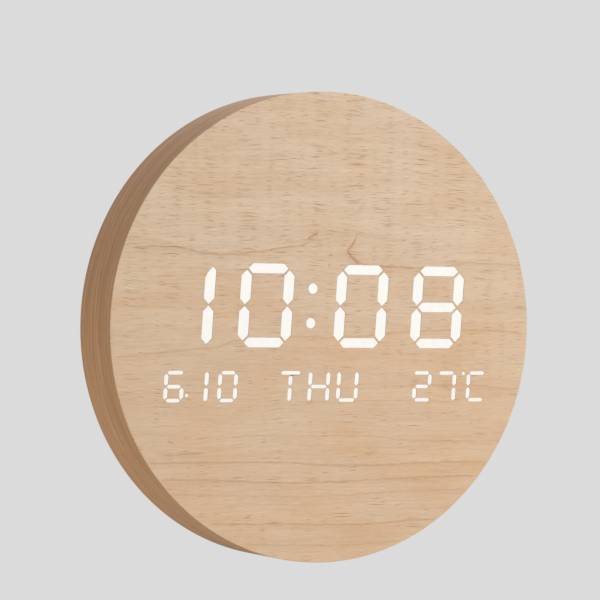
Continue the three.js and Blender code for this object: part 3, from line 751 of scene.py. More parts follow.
class Effect:
    """A node group that more than one material uses, built once."""

    NAME = ""
    INPUTS: dict[str, str] = {}
    OUTPUTS: dict[str, str] = {}

    @classmethod
    def tree(cls) -> bpy.types.NodeTree:
        """The group's tree, made at its first use."""
        found = bpy.data.node_groups.get(cls.NAME)
        if found:
            return found
        tree = bpy.data.node_groups.new(cls.NAME, "ShaderNodeTree")
        for names, way in ((cls.INPUTS, "INPUT"), (cls.OUTPUTS, "OUTPUT")):
            for name, kind in names.items():
                tree.interface.new_socket(
                    name=name, in_out=way, socket_type=f"NodeSocket{kind}"
                )
        sheet = Sheet(tree)
        inputs = sheet.node("NodeGroupInput")
        outputs = sheet.node("NodeGroupOutput")
        results = cls.write(sheet, {name: inputs.outputs[name] for name in cls.INPUTS})
        for name, value in results.items():
            sheet.feed(outputs.inputs[name], value)
        return tree

    @classmethod
    def write(cls, sheet: Sheet, inputs: dict[str, Value]) -> dict[str, Value]:
        """Writes the group's nodes.

        Args:
            sheet: The group's tree.
            inputs: Its inputs by name.

        Returns:
            Its outputs by name.
        """
        raise NotImplementedError


class Fibres(Effect):
    """Fine wood fibres: the grain vector runs along the fibres in X and across them in Y."""

    NAME = "Fibres"
    INPUTS = {"Grain": "Vector"}
    OUTPUTS = {"Fine": "Float", "Streaks": "Float", "Broad": "Float"}

    @classmethod
    def write(cls, sheet: Sheet, inputs: dict[str, Value]) -> dict[str, Value]:
        """Writes three noises, each drawn out along the grain.

        Args:
            sheet: The group's tree.
            inputs: Its inputs by name.

        Returns:
            Its outputs by name.
        """
        grain = inputs["Grain"]
        return {
            "Fine": sheet.noise(sheet.stretched(grain, (6.5, 0.32, 1)), 1, 3, 0.6),
            "Streaks": sheet.noise(sheet.stretched(grain, (38, 1.25, 1)), 1, 3, 0.55),
            "Broad": sheet.noise(sheet.stretched(grain, (95, 9, 1)), 1, 2, 0.5),
        }


class Pores(Effect):
    """Short dark dashes along the grain, one at most in each cell of a scattered lattice."""

    NAME = "Pores"
    INPUTS = {
        "Grain": "Vector",
        "Length": "Float",
        "Pitch": "Float",
        "Share": "Float",
        "Girth": "Float",
    }
    OUTPUTS = {"Mask": "Float"}

    @classmethod
    def write(cls, sheet: Sheet, inputs: dict[str, Value]) -> dict[str, Value]:
        """Writes an ellipse round each lattice point that is lucky enough to hold a pore.

        Args:
            sheet: The group's tree.
            inputs: Its inputs by name.

        Returns:
            Its outputs by name.
        """
        x, y, _ = sheet.separate(inputs["Grain"])
        cell = sheet.combine(
            sheet.math("DIVIDE", x, inputs["Length"]),
            sheet.math("DIVIDE", y, inputs["Pitch"]),
        )
        lattice = sheet.node("ShaderNodeTexVoronoi", voronoi_dimensions="2D", feature="F1")
        lattice.inputs["Scale"].default_value = 1
        sheet.feed(lattice.inputs["Vector"], cell)
        odds = sheet.node("ShaderNodeSeparateColor")
        sheet.feed(odds.inputs[0], lattice.outputs["Color"])
        luck, girth, depth = odds.outputs
        reach = sheet.math("MULTIPLY", sheet.math("ADD", girth, 0.45), inputs["Girth"])
        inside = sheet.smooth(lattice.outputs["Distance"], reach, 0.0)
        share = inputs["Share"]
        present = sheet.smooth(luck, share, sheet.math("SUBTRACT", share, 0.05))
        strength = sheet.math("MULTIPLY_ADD", depth, 0.65, 0.35)
        mask = sheet.math("MULTIPLY", sheet.math("MULTIPLY", inside, present), strength)
        return {"Mask": mask}


class GrowthLine(Effect):
    """A thin late-wood line at a height, with a soft shade below it."""

    NAME = "Growth line"
    INPUTS = {
        "Across": "Float",
        "Along": "Float",
        "Height": "Float",
        "Width": "Float",
        "Start": "Float",
        "End": "Float",
        "Fade": "Float",
        "Depth": "Float",
    }
    OUTPUTS = {"Mask": "Float"}

    @classmethod
    def write(cls, sheet: Sheet, inputs: dict[str, Value]) -> dict[str, Value]:
        """Writes the line, its shade and the fade at its two ends.

        Args:
            sheet: The group's tree.
            inputs: Its inputs by name.

        Returns:
            Its outputs by name.
        """
        off = sheet.math("SUBTRACT", inputs["Across"], inputs["Height"])
        width = inputs["Width"]
        line = sheet.smooth(sheet.math("ABSOLUTE", off), width, 0.0)
        shade = sheet.math(
            "MULTIPLY",
            sheet.smooth(off, sheet.math("MULTIPLY", width, -5.0), 0.0),
            sheet.smooth(off, width, 0.0),
        )
        drawn = sheet.math("MULTIPLY_ADD", shade, 0.28, line)
        start, end, fade = inputs["Start"], inputs["End"], inputs["Fade"]
        fade_in = sheet.smooth(inputs["Along"], start, sheet.math("ADD", start, fade))
        fade_out = sheet.smooth(inputs["Along"], end, sheet.math("SUBTRACT", end, fade))
        faded = sheet.math("MULTIPLY", fade_in, fade_out)
        mask = sheet.math("MULTIPLY", sheet.math("MULTIPLY", drawn, faded), inputs["Depth"])
        return {"Mask": mask}


class Moulding(Effect):
    """The spark-eroded texture and slow colour drift of a moulded plastic."""

    NAME = "Moulding"
    INPUTS = {"Place": "Vector", "Pitch": "Float"}
    OUTPUTS = {"Height": "Float", "Drift": "Float", "Dust": "Float"}

    @classmethod
    def write(cls, sheet: Sheet, inputs: dict[str, Value]) -> dict[str, Value]:
        """Writes the fine height, the slow drift and a few settled specks.

        Args:
            sheet: The group's tree.
            inputs: Its inputs by name.

        Returns:
            Its outputs by name.
        """
        place = inputs["Place"]
        pitch = sheet.combine(*([inputs["Pitch"]] * 3))
        fine = sheet.noise(sheet.vector("DIVIDE", place, pitch), 1, 3, 0.6)
        drift = sheet.noise(sheet.stretched(place, (31, 31, 31)), 1, 2, 0.5)
        specks = sheet.noise(sheet.stretched(place, (0.9, 0.9, 0.9)), 1, 1, 0.4)
        return {
            "Height": fine,
            "Drift": drift,
            "Dust": sheet.smooth(specks, 0.7, 0.8),
        }


class Brushing(Effect):
    """Fine scratches along X with slow stains, for plated sheet and turned metal."""

    NAME = "Brushing"
    INPUTS = {"Place": "Vector"}
    OUTPUTS = {"Scratches": "Float", "Stains": "Float"}

    @classmethod
    def write(cls, sheet: Sheet, inputs: dict[str, Value]) -> dict[str, Value]:
        """Writes a drawn-out noise and a slow one.

        Args:
            sheet: The group's tree.
            inputs: Its inputs by name.

        Returns:
            Its outputs by name.
        """
        place = inputs["Place"]
        return {
            "Scratches": sheet.noise(sheet.stretched(place, (6, 0.12, 0.12)), 1, 3, 0.7),
            "Stains": sheet.noise(sheet.stretched(place, (5, 5, 5)), 1, 3, 0.6),
        }


# ------------------------------------------------------------------ finishes


@dataclass(frozen=True)
class Finish:
    """A finish, made into a material at its first use."""

    name: str = "finish"

    def material(self) -> bpy.types.Material:
        """The finish's material."""
        label = f"{self.name}_finish"
        found = bpy.data.materials.get(label)
        if found:
            return found
        material = bpy.data.materials.new(label)
        material.use_nodes = True
        material.node_tree.nodes.clear()
        sheet = Sheet(material.node_tree)
        shader = sheet.node("ShaderNodeBsdfPrincipled")
        output = sheet.node("ShaderNodeOutputMaterial")
        sheet.feed(output.inputs["Surface"], shader.outputs[0])
        self.write(sheet, shader)
        return material

    def write(self, sheet: Sheet, shader: bpy.types.Node) -> None:
        """Writes the nodes that feed the shader.

        Args:
            sheet: The material's tree.
            shader: Its Principled BSDF.
        """
        raise NotImplementedError

    @staticmethod
    def bump(sheet: Sheet, shader: bpy.types.Node, height: Value, depth: float) -> None:
        """Feeds the shader's normal from a height of 0 to 1.

        Args:
            sheet: The material's tree.
            shader: Its Principled BSDF.
            height: The height.
            depth: The millimetres that a height of 1 stands for.
        """
        node = sheet.node("ShaderNodeBump")
        node.inputs["Distance"].default_value = depth * MM
        sheet.feed(node.inputs["Height"], height)
        sheet.feed(shader.inputs["Normal"], node.outputs[0])


@dataclass(frozen=True)
class RingLine:
    """One growth line of the face: places along it, its half width and how dark it is."""

    points: tuple[tuple[float, float], ...]
    width: float
    depth: float
    fade: float = 7


@dataclass(frozen=True)
class FaceMaple(Finish):
    """Pale rotary-cut veneer whose grain runs across the face."""

    name: str = "face_maple"
    pale: Colour = (0.735, 0.556, 0.400)
    warm: Colour = (0.720, 0.492, 0.305)
    late_wood: Colour = (0.500, 0.250, 0.105)
    pore: Colour = (0.400, 0.200, 0.085)
    gloss: float = 0.3
    spread: float = 1.7  # how much wider a growth line is drawn than its own half width
    strength: float = 0.6  # and how much fainter
    reach: float = 130  # how far the growth lines are laid out from the middle
    lines: tuple[RingLine, ...] = (
        RingLine(((-122, 45.6), (-108, 44.6), (-98, 44), (-88, 43.4)), 0.5, 0.3),
        RingLine(
            ((-114, 40.6), (-88, 41), (-78, 39.2), (-62, 37.6), (-40, 39.6), (-24, 42.2),
             (-14, 43.6), (-9.6, 45.4)),
            0.55, 0.62, 3,
        ),
        RingLine(((-82, 38.6), (-70, 37.2), (-60, 37.4), (-50, 38)), 0.45, 0.4),
        RingLine(((-12.4, 46.4), (-10.4, 47.4), (-8, 49), (-5, 50.2)), 0.75, 1.0, 1.4),
        RingLine(((-16, 46.4), (-10, 46.2), (-2, 46.2)), 0.4, 0.6, 3),
        RingLine(((-7, 50), (2, 51), (10, 50.6), (18, 48.6)), 0.5, 0.28),
        RingLine(((11.2, 40.2), (13, 42), (15.6, 44.8), (18.6, 49.4)), 1.15, 0.95, 1.6),
        RingLine(((11.2, 41.4), (13.4, 39.4), (16.4, 36.2), (20, 34.4)), 1.15, 1.15, 1.6),
        RingLine(((16, 36.2), (20, 34.6), (32, 33), (46, 32.6), (64, 32.6)), 0.5, 0.85, 4),
        RingLine(((0.2, 33), (1.4, 33.4), (2.6, 33.2)), 0.5, 1.0, 1),
        RingLine(((54, 32.4), (72, 33.4), (84, 35.8), (100, 35.4), (124, 34.8)), 0.5, 0.5),
        RingLine(
            ((-126, -16.6), (-106, -14.6), (-80, -12.2), (-63, -10.6), (-54, -7.4),
             (-30, -5.8), (-14, -5), (2, -5.6), (14, -5)),
            0.5, 0.5,
        ),
        RingLine(
            ((4, -5.2), (26, -4.2), (40, -2.6), (60, -1.4), (90, -0.8), (108, -1.2), (126, -2.8)),
            0.5, 0.55,
        ),
        RingLine(((-98, -67.2), (-86, -66.7), (-69, -66)), 0.4, 0.75),
        RingLine(((22, -67.4), (28, -66.9), (36, -66.2)), 0.5, 0.3),
        RingLine(((-60, -27), (-74, -27.4), (-96, -27.6)), 0.9, 0.2),
        RingLine(((36, -31.4), (58, -31), (80, -30.2), (98, -31.6), (120, -33.4)), 0.5, 0.35),
        RingLine(((-20, -39.4), (10, -39.4), (44, -39), (84, -39.8)), 0.45, 0.3),
        RingLine(((-52, -57), (-10, -57.6), (30, -58.2), (52, -60.6), (112, -61)), 0.45, 0.32),
        RingLine(
            ((-106, -71.2), (-60, -71), (-20, -71.8), (0, -73), (34, -73.5), (60, -72.6),
             (104, -72.6)),
            0.5, 0.6,
        ),
        RingLine(((-98, -79.8), (-60, -80.6), (-34, -81.9), (0, -82.2), (40, -81), (96, -79.9)),
                 0.5, 0.62),
        RingLine(((-92, -87.2), (-40, -89), (4, -89.6), (48, -88), (90, -87.4)), 0.45, 0.36),
        RingLine(((-60, -93), (-10, -93.8), (40, -92.8), (70, -93)), 0.4, 0.2),
        RingLine(((-70, -103.2), (-36, -103.8), (0, -104.7), (24, -105.2), (48, -104), (72, -103.4)),
                 0.5, 0.62),
        RingLine(((-48, -114.2), (-6, -115.8), (20, -116), (50, -114.6)), 0.5, 0.4),
    )

    def _height_of(self, sheet: Sheet, line: RingLine, along: Value) -> Value:
        """The height of a growth line at each place along the face.

        Args:
            sheet: The material's tree.
            line: The line.
            along: The place along the face, from 0 at its left to 1 at its right.

        Returns:
            The line's height in millimetres.
        """
        curve = sheet.node("ShaderNodeFloatCurve")
        points = curve.mapping.curves[0].points
        ends = sorted((x / self.reach / 2 + 0.5, z / self.reach / 2 + 0.5) for x, z in line.points)
        points[0].location = (0, ends[0][1])
        points[1].location = (1, ends[-1][1])
        for x, z in ends:
            points.new(x, z)
        curve.mapping.update()
        sheet.feed(curve.inputs["Value"], along)
        return sheet.math("MULTIPLY_ADD", curve.outputs[0], 2 * self.reach, -self.reach)

    def _growth(self, sheet: Sheet, x: Value, z: Value) -> Value:
        """How much late wood shows at each place.

        Args:
            sheet: The material's tree.
            x: The place along the face.
            z: The place up the face, with its small tremble.

        Returns:
            A mask from 0 to 1.
        """
        along = sheet.math("MULTIPLY_ADD", x, 0.5 / self.reach, 0.5)
        total: Value = 0.0
        for line in self.lines:
            xs = [x_ for x_, _ in line.points]
            mask = sheet.effect(
                GrowthLine.tree(),
                across=z,
                along=x,
                height=self._height_of(sheet, line, along),
                width=line.width * self.spread,
                start=min(xs),
                end=max(xs),
                fade=line.fade,
                depth=line.depth * self.strength,
            ).outputs[0]
            total = sheet.math("MAXIMUM", total, mask)
        broken = sheet.smooth(
            sheet.noise(sheet.stretched(sheet.combine(x, z), (5, 1.1, 1)), 1, 2, 0.6),
            0.3, 0.6, 0.55, 1.0,
        )
        return sheet.math("MULTIPLY", total, broken)

    def write(self, sheet: Sheet, shader: bpy.types.Node) -> None:
        """Writes the patches, fibres, growth lines and pores of the face.

        Args:
            sheet: The material's tree.
            shader: Its Principled BSDF.
        """
        x, _, z = sheet.separate(sheet.place())
        flat = sheet.combine(x, z)
        sway = sheet.noise(sheet.stretched(flat, (62, 40, 1)), 1, 2, 0.5)
        tremble = sheet.noise(sheet.stretched(flat, (6, 9, 1)), 1, 2, 0.5)
        swayed = sheet.math("ADD", z, sheet.math("MULTIPLY_ADD", sway, 9.0, -4.5))
        trembled = sheet.math("ADD", z, sheet.math("MULTIPLY_ADD", tremble, 1.5, -0.75))
        grain = sheet.combine(x, sheet.math("ADD", swayed, sheet.math("MULTIPLY", tremble, 1.2)))

        fibres = sheet.effect(Fibres.tree(), grain=grain)
        patches = sheet.noise(sheet.stretched(flat, (58, 30, 1)), 1, 3, 0.55)
        low = sheet.smooth(z, 70.0, -70.0, 0.0, 0.5)
        warmth = sheet.math("ADD", sheet.smooth(patches, 0.36, 0.72, 0.0, 0.75), low, clamp=True)
        colour = sheet.mix(warmth, self.pale, self.warm)
        broad = sheet.smooth(fibres.outputs["Broad"], 0.3, 0.7, 0.97, 1.02)
        streaks = sheet.smooth(fibres.outputs["Streaks"], 0.3, 0.7, 0.965, 1.03)
        fine = sheet.smooth(fibres.outputs["Fine"], 0.25, 0.75, 0.935, 1.055)
        tone = sheet.math("MULTIPLY", sheet.math("MULTIPLY", broad, streaks), fine)
        deeper = sheet.combine(tone, sheet.math("POWER", tone, 1.5), sheet.math("POWER", tone, 2.0))
        colour = sheet.mix(1.0, colour, deeper, "MULTIPLY")

        growth = self._growth(sheet, x, trembled)
        veins = sheet.smooth(
            sheet.noise(sheet.stretched(grain, (30, 0.8, 1)), 1.1, 2, 0.6), 0.62, 0.75, 0.0, 0.22
        )
        colour = sheet.mix(sheet.math("MAXIMUM", growth, veins), colour, self.late_wood)

        crowding = sheet.noise(sheet.stretched(flat, (34, 12, 1)), 1, 2, 0.5)
        crowded = sheet.math("MULTIPLY_ADD", crowding, 0.7, -0.35)
        share = sheet.math("ADD", sheet.smooth(z, -70.0, 80.0, 0.12, 0.42), crowded)
        short = sheet.effect(
            Pores.tree(), grain=grain, length=9.0, pitch=0.75, share=share, girth=0.27
        )
        long = sheet.effect(
            Pores.tree(),
            grain=sheet.vector("ADD", grain, (31.0, 17.0, 0.0)),
            length=21.0, pitch=0.85, share=share, girth=0.27,
        )
        pores = sheet.math("MAXIMUM", short.outputs[0], long.outputs[0])
        colour = sheet.mix(pores, colour, self.pore)
        sheet.feed(shader.inputs["Base Color"], colour)
        sheet.feed(
            shader.inputs["Roughness"],
            sheet.math("MULTIPLY_ADD", sheet.math("MAXIMUM", pores, growth), 0.2, 0.55),
        )
        shader.inputs["Specular IOR Level"].default_value = self.gloss
        height = sheet.math(
            "SUBTRACT", sheet.math("MULTIPLY", fibres.outputs["Fine"], 0.35), pores
        )
        self.bump(sheet, shader, height, 0.02)


@dataclass(frozen=True)
class EdgeMaple(Finish):
    """The same veneer as a strip bent round the drum, browner and with its grain round it."""

    name: str = "edge_maple"
    pale: Colour = (0.525, 0.298, 0.150)
    dark: Colour = (0.400, 0.210, 0.096)
    pore: Colour = (0.250, 0.122, 0.052)
    gloss: float = 0.35
    radius: float = 125

    def write(self, sheet: Sheet, shader: bpy.types.Node) -> None:
        """Writes bands, fibres and pores along the strip, whose butt joint is at the bottom.

        Args:
            sheet: The material's tree.
            shader: Its Principled BSDF.
        """
        x, y, z = sheet.separate(sheet.place())
        arc = sheet.math("MULTIPLY", sheet.math("ARCTAN2", x, z), self.radius)
        sway = sheet.noise(sheet.stretched(sheet.combine(arc, y), (60, 18, 1)), 1, 2, 0.5)
        grain = sheet.combine(arc, sheet.math("MULTIPLY_ADD", sway, 5.0, y))
        fibres = sheet.effect(Fibres.tree(), grain=grain)
        bands = sheet.noise(sheet.stretched(grain, (150, 2.6, 1)), 1, 3, 0.6)
        colour = sheet.mix(sheet.smooth(bands, 0.3, 0.7), self.pale, self.dark)
        streaks = sheet.smooth(fibres.outputs["Streaks"], 0.3, 0.7, 0.88, 1.08)
        fine = sheet.smooth(fibres.outputs["Fine"], 0.25, 0.75, 0.93, 1.05)
        tone = sheet.math("MULTIPLY", streaks, fine)
        colour = sheet.mix(1.0, colour, sheet.combine(tone, tone, tone), "MULTIPLY")
        pores = sheet.effect(
            Pores.tree(), grain=grain, length=9.0, pitch=1.1, share=0.3, girth=0.3
        ).outputs[0]
        colour = sheet.mix(sheet.math("MULTIPLY", pores, 0.5), colour, self.pore)
        sheet.feed(shader.inputs["Base Color"], colour)
        sheet.feed(shader.inputs["Roughness"], sheet.math("MULTIPLY_ADD", pores, 0.2, 0.46))
        shader.inputs["Specular IOR Level"].default_value = self.gloss
        height = sheet.math(
            "SUBTRACT", sheet.math("MULTIPLY", fibres.outputs["Fine"], 0.4), pores
        )
        self.bump(sheet, shader, height, 0.05)


@dataclass(frozen=True)
class ScorchedMaple(Finish):
    """Veneer browned by the laser that cut the windows."""

    name: str = "scorched_maple"
    light: Colour = (0.560, 0.390, 0.255)
    dark: Colour = (0.400, 0.250, 0.150)

    def write(self, sheet: Sheet, shader: bpy.types.Node) -> None:
        """Writes uneven browning.

        Args:
            sheet: The material's tree.
            shader: Its Principled BSDF.
        """
        place = sheet.place()
        browned = sheet.noise(sheet.stretched(place, (1.6, 1.6, 0.5)), 1, 3, 0.6)
        colour = sheet.mix(sheet.smooth(browned, 0.3, 0.7), self.light, self.dark)
        sheet.feed(shader.inputs["Base Color"], colour)
        sheet.feed(shader.inputs["Roughness"], sheet.smooth(browned, 0.2, 0.8, 0.6, 0.8))
        self.bump(sheet, shader, browned, 0.03)


class Lay(Enum):
    """Which way the plies of a laminated wood are stacked."""

    ROUND_DRUM = "radius"
    THROUGH_PANEL = "depth"


@dataclass(frozen=True)
class Plies(Finish):
    """Laminated wood whose plies show at its cut edges."""

    name: str = "plies"
    lay: Lay = Lay.ROUND_DRUM
    ply: float = 1.15
    long_grain: Colour = (0.610, 0.445, 0.262)
    end_grain: Colour = (0.395, 0.245, 0.128)
    glue: Colour = (0.205, 0.118, 0.062)

    def write(self, sheet: Sheet, shader: bpy.types.Node) -> None:
        """Writes plies of turned grain with thin glue lines between them.

        Args:
            sheet: The material's tree.
            shader: Its Principled BSDF.
        """
        place = sheet.place()
        x, y, z = sheet.separate(place)
        if self.lay is Lay.ROUND_DRUM:
            squares = (sheet.math("MULTIPLY", side, side) for side in (x, z))
            through = sheet.math("SQRT", sheet.math("ADD", *squares))
        else:
            through = y
        waved = sheet.math(
            "ADD", through, sheet.math("MULTIPLY", sheet.noise(place, 0.09, 2, 0.5), 0.5)
        )
        stack = sheet.math("DIVIDE", waved, self.ply)
        turn = sheet.math("PINGPONG", stack, 1.0)
        fibres = sheet.noise(sheet.stretched(place, (1.5, 0.5, 1.5)), 1, 4, 0.65)
        colour = sheet.mix(sheet.smooth(turn, 0.42, 0.58), self.long_grain, self.end_grain)
        colour = sheet.mix(sheet.smooth(fibres, 0.35, 0.75, 0.0, 0.35), colour, self.glue)
        to_line = sheet.math("ABSOLUTE", sheet.math("SUBTRACT", turn, 0.5))
        colour = sheet.mix(sheet.smooth(to_line, 0.09, 0.02, 0.0, 0.7), colour, self.glue)
        sheet.feed(shader.inputs["Base Color"], colour)
        sheet.feed(shader.inputs["Roughness"], sheet.smooth(fibres, 0.2, 0.8, 0.62, 0.85))
        self.bump(sheet, shader, fibres, 0.08)


@dataclass(frozen=True)
class LitDiffuser(Finish):
    """Milky sheet lit from behind, a little cooler over each lamp."""

    name: str = "lit_diffuser"
    cool: Colour = (0.930, 0.905, 0.885)
    warm: Colour = (0.985, 0.950, 0.880)
    glow: float = 0.73

    def write(self, sheet: Sheet, shader: bpy.types.Node) -> None:
        """Writes soft pools of light along the segments.

        Args:
            sheet: The material's tree.
            shader: Its Principled BSDF.
        """
        pools = sheet.noise(sheet.stretched(sheet.place(), (4.5, 4.5, 7)), 1, 1, 0.4)
        colour = sheet.mix(sheet.smooth(pools, 0.3, 0.7), self.cool, self.warm)
        sheet.feed(shader.inputs["Base Color"], sheet.mix(0.8, colour, (0, 0, 0)))
        sheet.feed(shader.inputs["Emission Color"], colour)
        shader.inputs["Emission Strength"].default_value = self.glow
        sheet.feed(shader.inputs["Roughness"], sheet.smooth(pools, 0.2, 0.8, 0.35, 0.45))


@dataclass(frozen=True)
class Moulded(Finish):
    """Moulded plastic with a spark-eroded texture."""

    colour: Colour = (0.024, 0.024, 0.026)
    drifted: Colour = (0.028, 0.028, 0.030)
    dust: Colour = (0.10, 0.10, 0.10)
    pitch: float = 0.35
    depth: float = 0.03
    roughness: Span = (0.46, 0.6)

    def write(self, sheet: Sheet, shader: bpy.types.Node) -> None:
        """Writes the texture, the drift and the specks.

        Args:
            sheet: The material's tree.
            shader: Its Principled BSDF.
        """
        moulding = sheet.effect(Moulding.tree(), place=sheet.place(), pitch=self.pitch)
        drift = sheet.smooth(moulding.outputs["Drift"], 0.3, 0.7)
        colour = sheet.mix(drift, self.colour, self.drifted)
        dusted = sheet.math("MULTIPLY", moulding.outputs["Dust"], 0.35)
        sheet.feed(shader.inputs["Base Color"], sheet.mix(dusted, colour, self.dust))
        sheet.feed(shader.inputs["Roughness"], sheet.smooth(drift, 0.0, 1.0, *self.roughness))
        self.bump(sheet, shader, moulding.outputs["Height"], self.depth)


@dataclass(frozen=True)
class Plated(Finish):
    """Plated or bare metal with fine scratches and dull stains."""

    bright: Colour = (0.62, 0.63, 0.65)
    dull: Colour = (0.45, 0.45, 0.46)
    roughness: Span = (0.24, 0.42)

    def write(self, sheet: Sheet, shader: bpy.types.Node) -> None:
        """Writes the scratches and stains.

        Args:
            sheet: The material's tree.
            shader: Its Principled BSDF.
        """
        brushing = sheet.effect(Brushing.tree(), place=sheet.place())
        stains = sheet.smooth(brushing.outputs["Stains"], 0.35, 0.7)
        sheet.feed(shader.inputs["Base Color"], sheet.mix(stains, self.bright, self.dull))
        sheet.feed(shader.inputs["Roughness"], sheet.smooth(stains, 0.0, 1.0, *self.roughness))
        shader.inputs["Metallic"].default_value = 1
        self.bump(sheet, shader, brushing.outputs["Scratches"], 0.006)


@dataclass(frozen=True)
class Circuit(Finish):
    """Solder mask over copper tracks, with white lamps standing in front of a level."""

    name: str = "circuit"
    mask: Colour = (0.012, 0.105, 0.045)
    copper: Colour = (0.030, 0.205, 0.085)
    pad: Colour = (0.60, 0.60, 0.58)
    lamp: Colour = (0.86, 0.80, 0.62)
    lamp_front: float = -1000  # the level that lamps stand in front of, where there are any
    pitch: float = 3.2

    def write(self, sheet: Sheet, shader: bpy.types.Node) -> None:
        """Writes tracks as the cell edges of a square lattice, and pads in some cells.

        Args:
            sheet: The material's tree.
            shader: Its Principled BSDF.
        """
        place = sheet.place()
        x, y, z = sheet.separate(place)
        lattice = sheet.node(
            "ShaderNodeTexVoronoi", voronoi_dimensions="2D", feature="F1", distance="CHEBYCHEV"
        )
        flat = sheet.vector("DIVIDE", sheet.combine(x, z), (self.pitch,) * 3)
        sheet.feed(lattice.inputs["Vector"], flat)
        lattice.inputs["Scale"].default_value = 1
        lattice.inputs["Randomness"].default_value = 0.55
        ring = sheet.math("PINGPONG", sheet.math("MULTIPLY", lattice.outputs["Distance"], 3.0), 0.5)
        track = sheet.smooth(ring, 0.16, 0.24)
        colour = sheet.mix(track, self.mask, self.copper)
        pad = sheet.smooth(lattice.outputs["Distance"], 0.13, 0.09)
        colour = sheet.mix(pad, colour, self.pad)
        lamp = sheet.smooth(y, self.lamp_front, self.lamp_front - 0.02)
        colour = sheet.mix(lamp, colour, self.lamp)
        sheet.feed(shader.inputs["Base Color"], colour)
        sheet.feed(shader.inputs["Roughness"], sheet.smooth(pad, 0.0, 1.0, 0.32, 0.5))
        self.bump(sheet, shader, track, 0.03)


@dataclass(frozen=True)
class FlatCable(Finish):
    """Ribbed grey insulation over side-by-side wires, the first of them marked red, with painted
    shade in the grooves between the wires.
    """

    name: str = "cable_grey"
    grey: Colour = (0.50, 0.51, 0.53)
    # a dark grey used both for painted shade in the grooves and for grime
    groove_shade_and_grime: Colour = (0.25, 0.25, 0.27)
    marked: Colour = (0.46, 0.05, 0.04)
    pitch: float = 1.27
    marked_from: float = 5.7

    def write(self, sheet: Sheet, shader: bpy.types.Node) -> None:
        """Writes painted shade in the grooves between the wires, grime in the same dark grey, and
        the marked wire.

        Args:
            sheet: The material's tree.
            shader: Its Principled BSDF.
        """
        place = sheet.place()
        x, _, _ = sheet.separate(place)
        rib = sheet.math("PINGPONG", sheet.math("DIVIDE", x, self.pitch), 0.5)
        grime = sheet.noise(place, 0.4, 3, 0.6)
        mark = sheet.smooth(x, self.marked_from, self.marked_from + 0.1)
        colour = sheet.mix(mark, self.grey, self.marked)
        # painted shade: the grooves between the wires are drawn darker
        colour = sheet.mix(sheet.smooth(rib, 0.12, 0.03), colour, self.groove_shade_and_grime)
        # grime, drawn in the same dark grey as the painted groove shade
        colour = sheet.mix(sheet.smooth(grime, 0.5, 0.8, 0.0, 0.2), colour, self.groove_shade_and_grime)
        sheet.feed(shader.inputs["Base Color"], colour)
        sheet.feed(shader.inputs["Roughness"], sheet.smooth(grime, 0.3, 0.8, 0.45, 0.6))
        self.bump(sheet, shader, sheet.smooth(rib, 0.0, 0.5), 0.3)


@dataclass(frozen=True)
class Studio(Finish):
    """Pale matt floor, barely mottled."""

    name: str = "studio_floor"
    light: Colour = (0.62, 0.62, 0.61)
    dark: Colour = (0.60, 0.60, 0.59)

    def write(self, sheet: Sheet, shader: bpy.types.Node) -> None:
        """Writes the mottling.

        Args:
            sheet: The material's tree.
            shader: Its Principled BSDF.
        """
        mottle = sheet.noise(sheet.place(), 0.004, 3, 0.5)
        sheet.feed(shader.inputs["Base Color"], sheet.mix(mottle, self.light, self.dark))
        sheet.feed(shader.inputs["Roughness"], sheet.smooth(mottle, 0.0, 1.0, 0.85, 0.95))


FACE_MAPLE = FaceMaple()
EDGE_MAPLE = EdgeMaple()
SCORCHED = ScorchedMaple()
BENTWOOD = Plies("bentwood")
PLYWOOD = Plies("plywood", Lay.THROUGH_PANEL, 1.25)
LIT = LitDiffuser()
COVER_BLACK = Moulded("cover_black")
KEY_GREY = Moulded(
    "key_grey", (0.070, 0.070, 0.078), (0.085, 0.085, 0.093), (0.2, 0.2, 0.2), 0.22, 0.02
)
PRINT = Moulded(
    "print_white", (0.62, 0.62, 0.60), (0.54, 0.54, 0.52), (0.3, 0.3, 0.3), 0.2, 0.01,
    (0.5, 0.6),
)
CHIP_BLACK = Moulded(
    "chip_black", (0.012, 0.012, 0.013), (0.018, 0.018, 0.019), (0.06, 0.06, 0.06), 0.12, 0.01,
    (0.35, 0.5),
)
WHITE = Moulded(
    "white_plastic", (0.80, 0.80, 0.77), (0.74, 0.74, 0.70), (0.6, 0.6, 0.58), 0.3, 0.01,
    (0.35, 0.45),
)
ZINC = Plated("zinc_steel", (0.60, 0.61, 0.64), (0.40, 0.41, 0.44))
NICKEL = Plated("nickel_plate", (0.72, 0.70, 0.67), (0.58, 0.56, 0.53), (0.18, 0.32))
BRASS = Plated("brass_strip", (0.78, 0.58, 0.26), (0.55, 0.38, 0.16), (0.25, 0.42))
CABLE = FlatCable()
FLOOR = Studio()


# ------------------------------------------------------------------ parts


def dress(node: str, finish: Finish) -> None:
    """Gives a CAD node that stays as it is its finish.

    Args:
        node: The CAD node's name.
        finish: The finish.
    """
    materials = bpy.data.objects[node].data.materials
    materials.clear()
    materials.append(finish.material())


def soften_node(node: str, width: float) -> None:
    """Rounds a CAD node's sharp edges with modifiers that stay live.

    Args:
        node: The CAD node's name.
        width: How far from each edge the rounding starts.
    """
    obj = bpy.data.objects[node]
    weld = obj.modifiers.new("Weld", "WELD")
    weld.merge_threshold = 0.001 * MM
    bevel = obj.modifiers.new("Bevel", "BEVEL")
    bevel.width = width * MM
    bevel.segments = 2
    bevel.limit_method = "ANGLE"
    bevel.angle_limit = math.radians(40)


def rounded_slab(at: Place, size: tuple[float, float], y: Span, radius: float) -> Piece:
    """A cutter: a slab whose corners are rounded."""
    return Piece.slab("cutter", at, size, y).round_corners(radius)


def rod(at: Place, radius: float, y: Span, sides: int = SMALL_SIDES) -> Piece:
    """A cutter, or a boss that is joined on: a short round bar along Y."""
    return Piece.disc("rod", at, radius, y, sides)


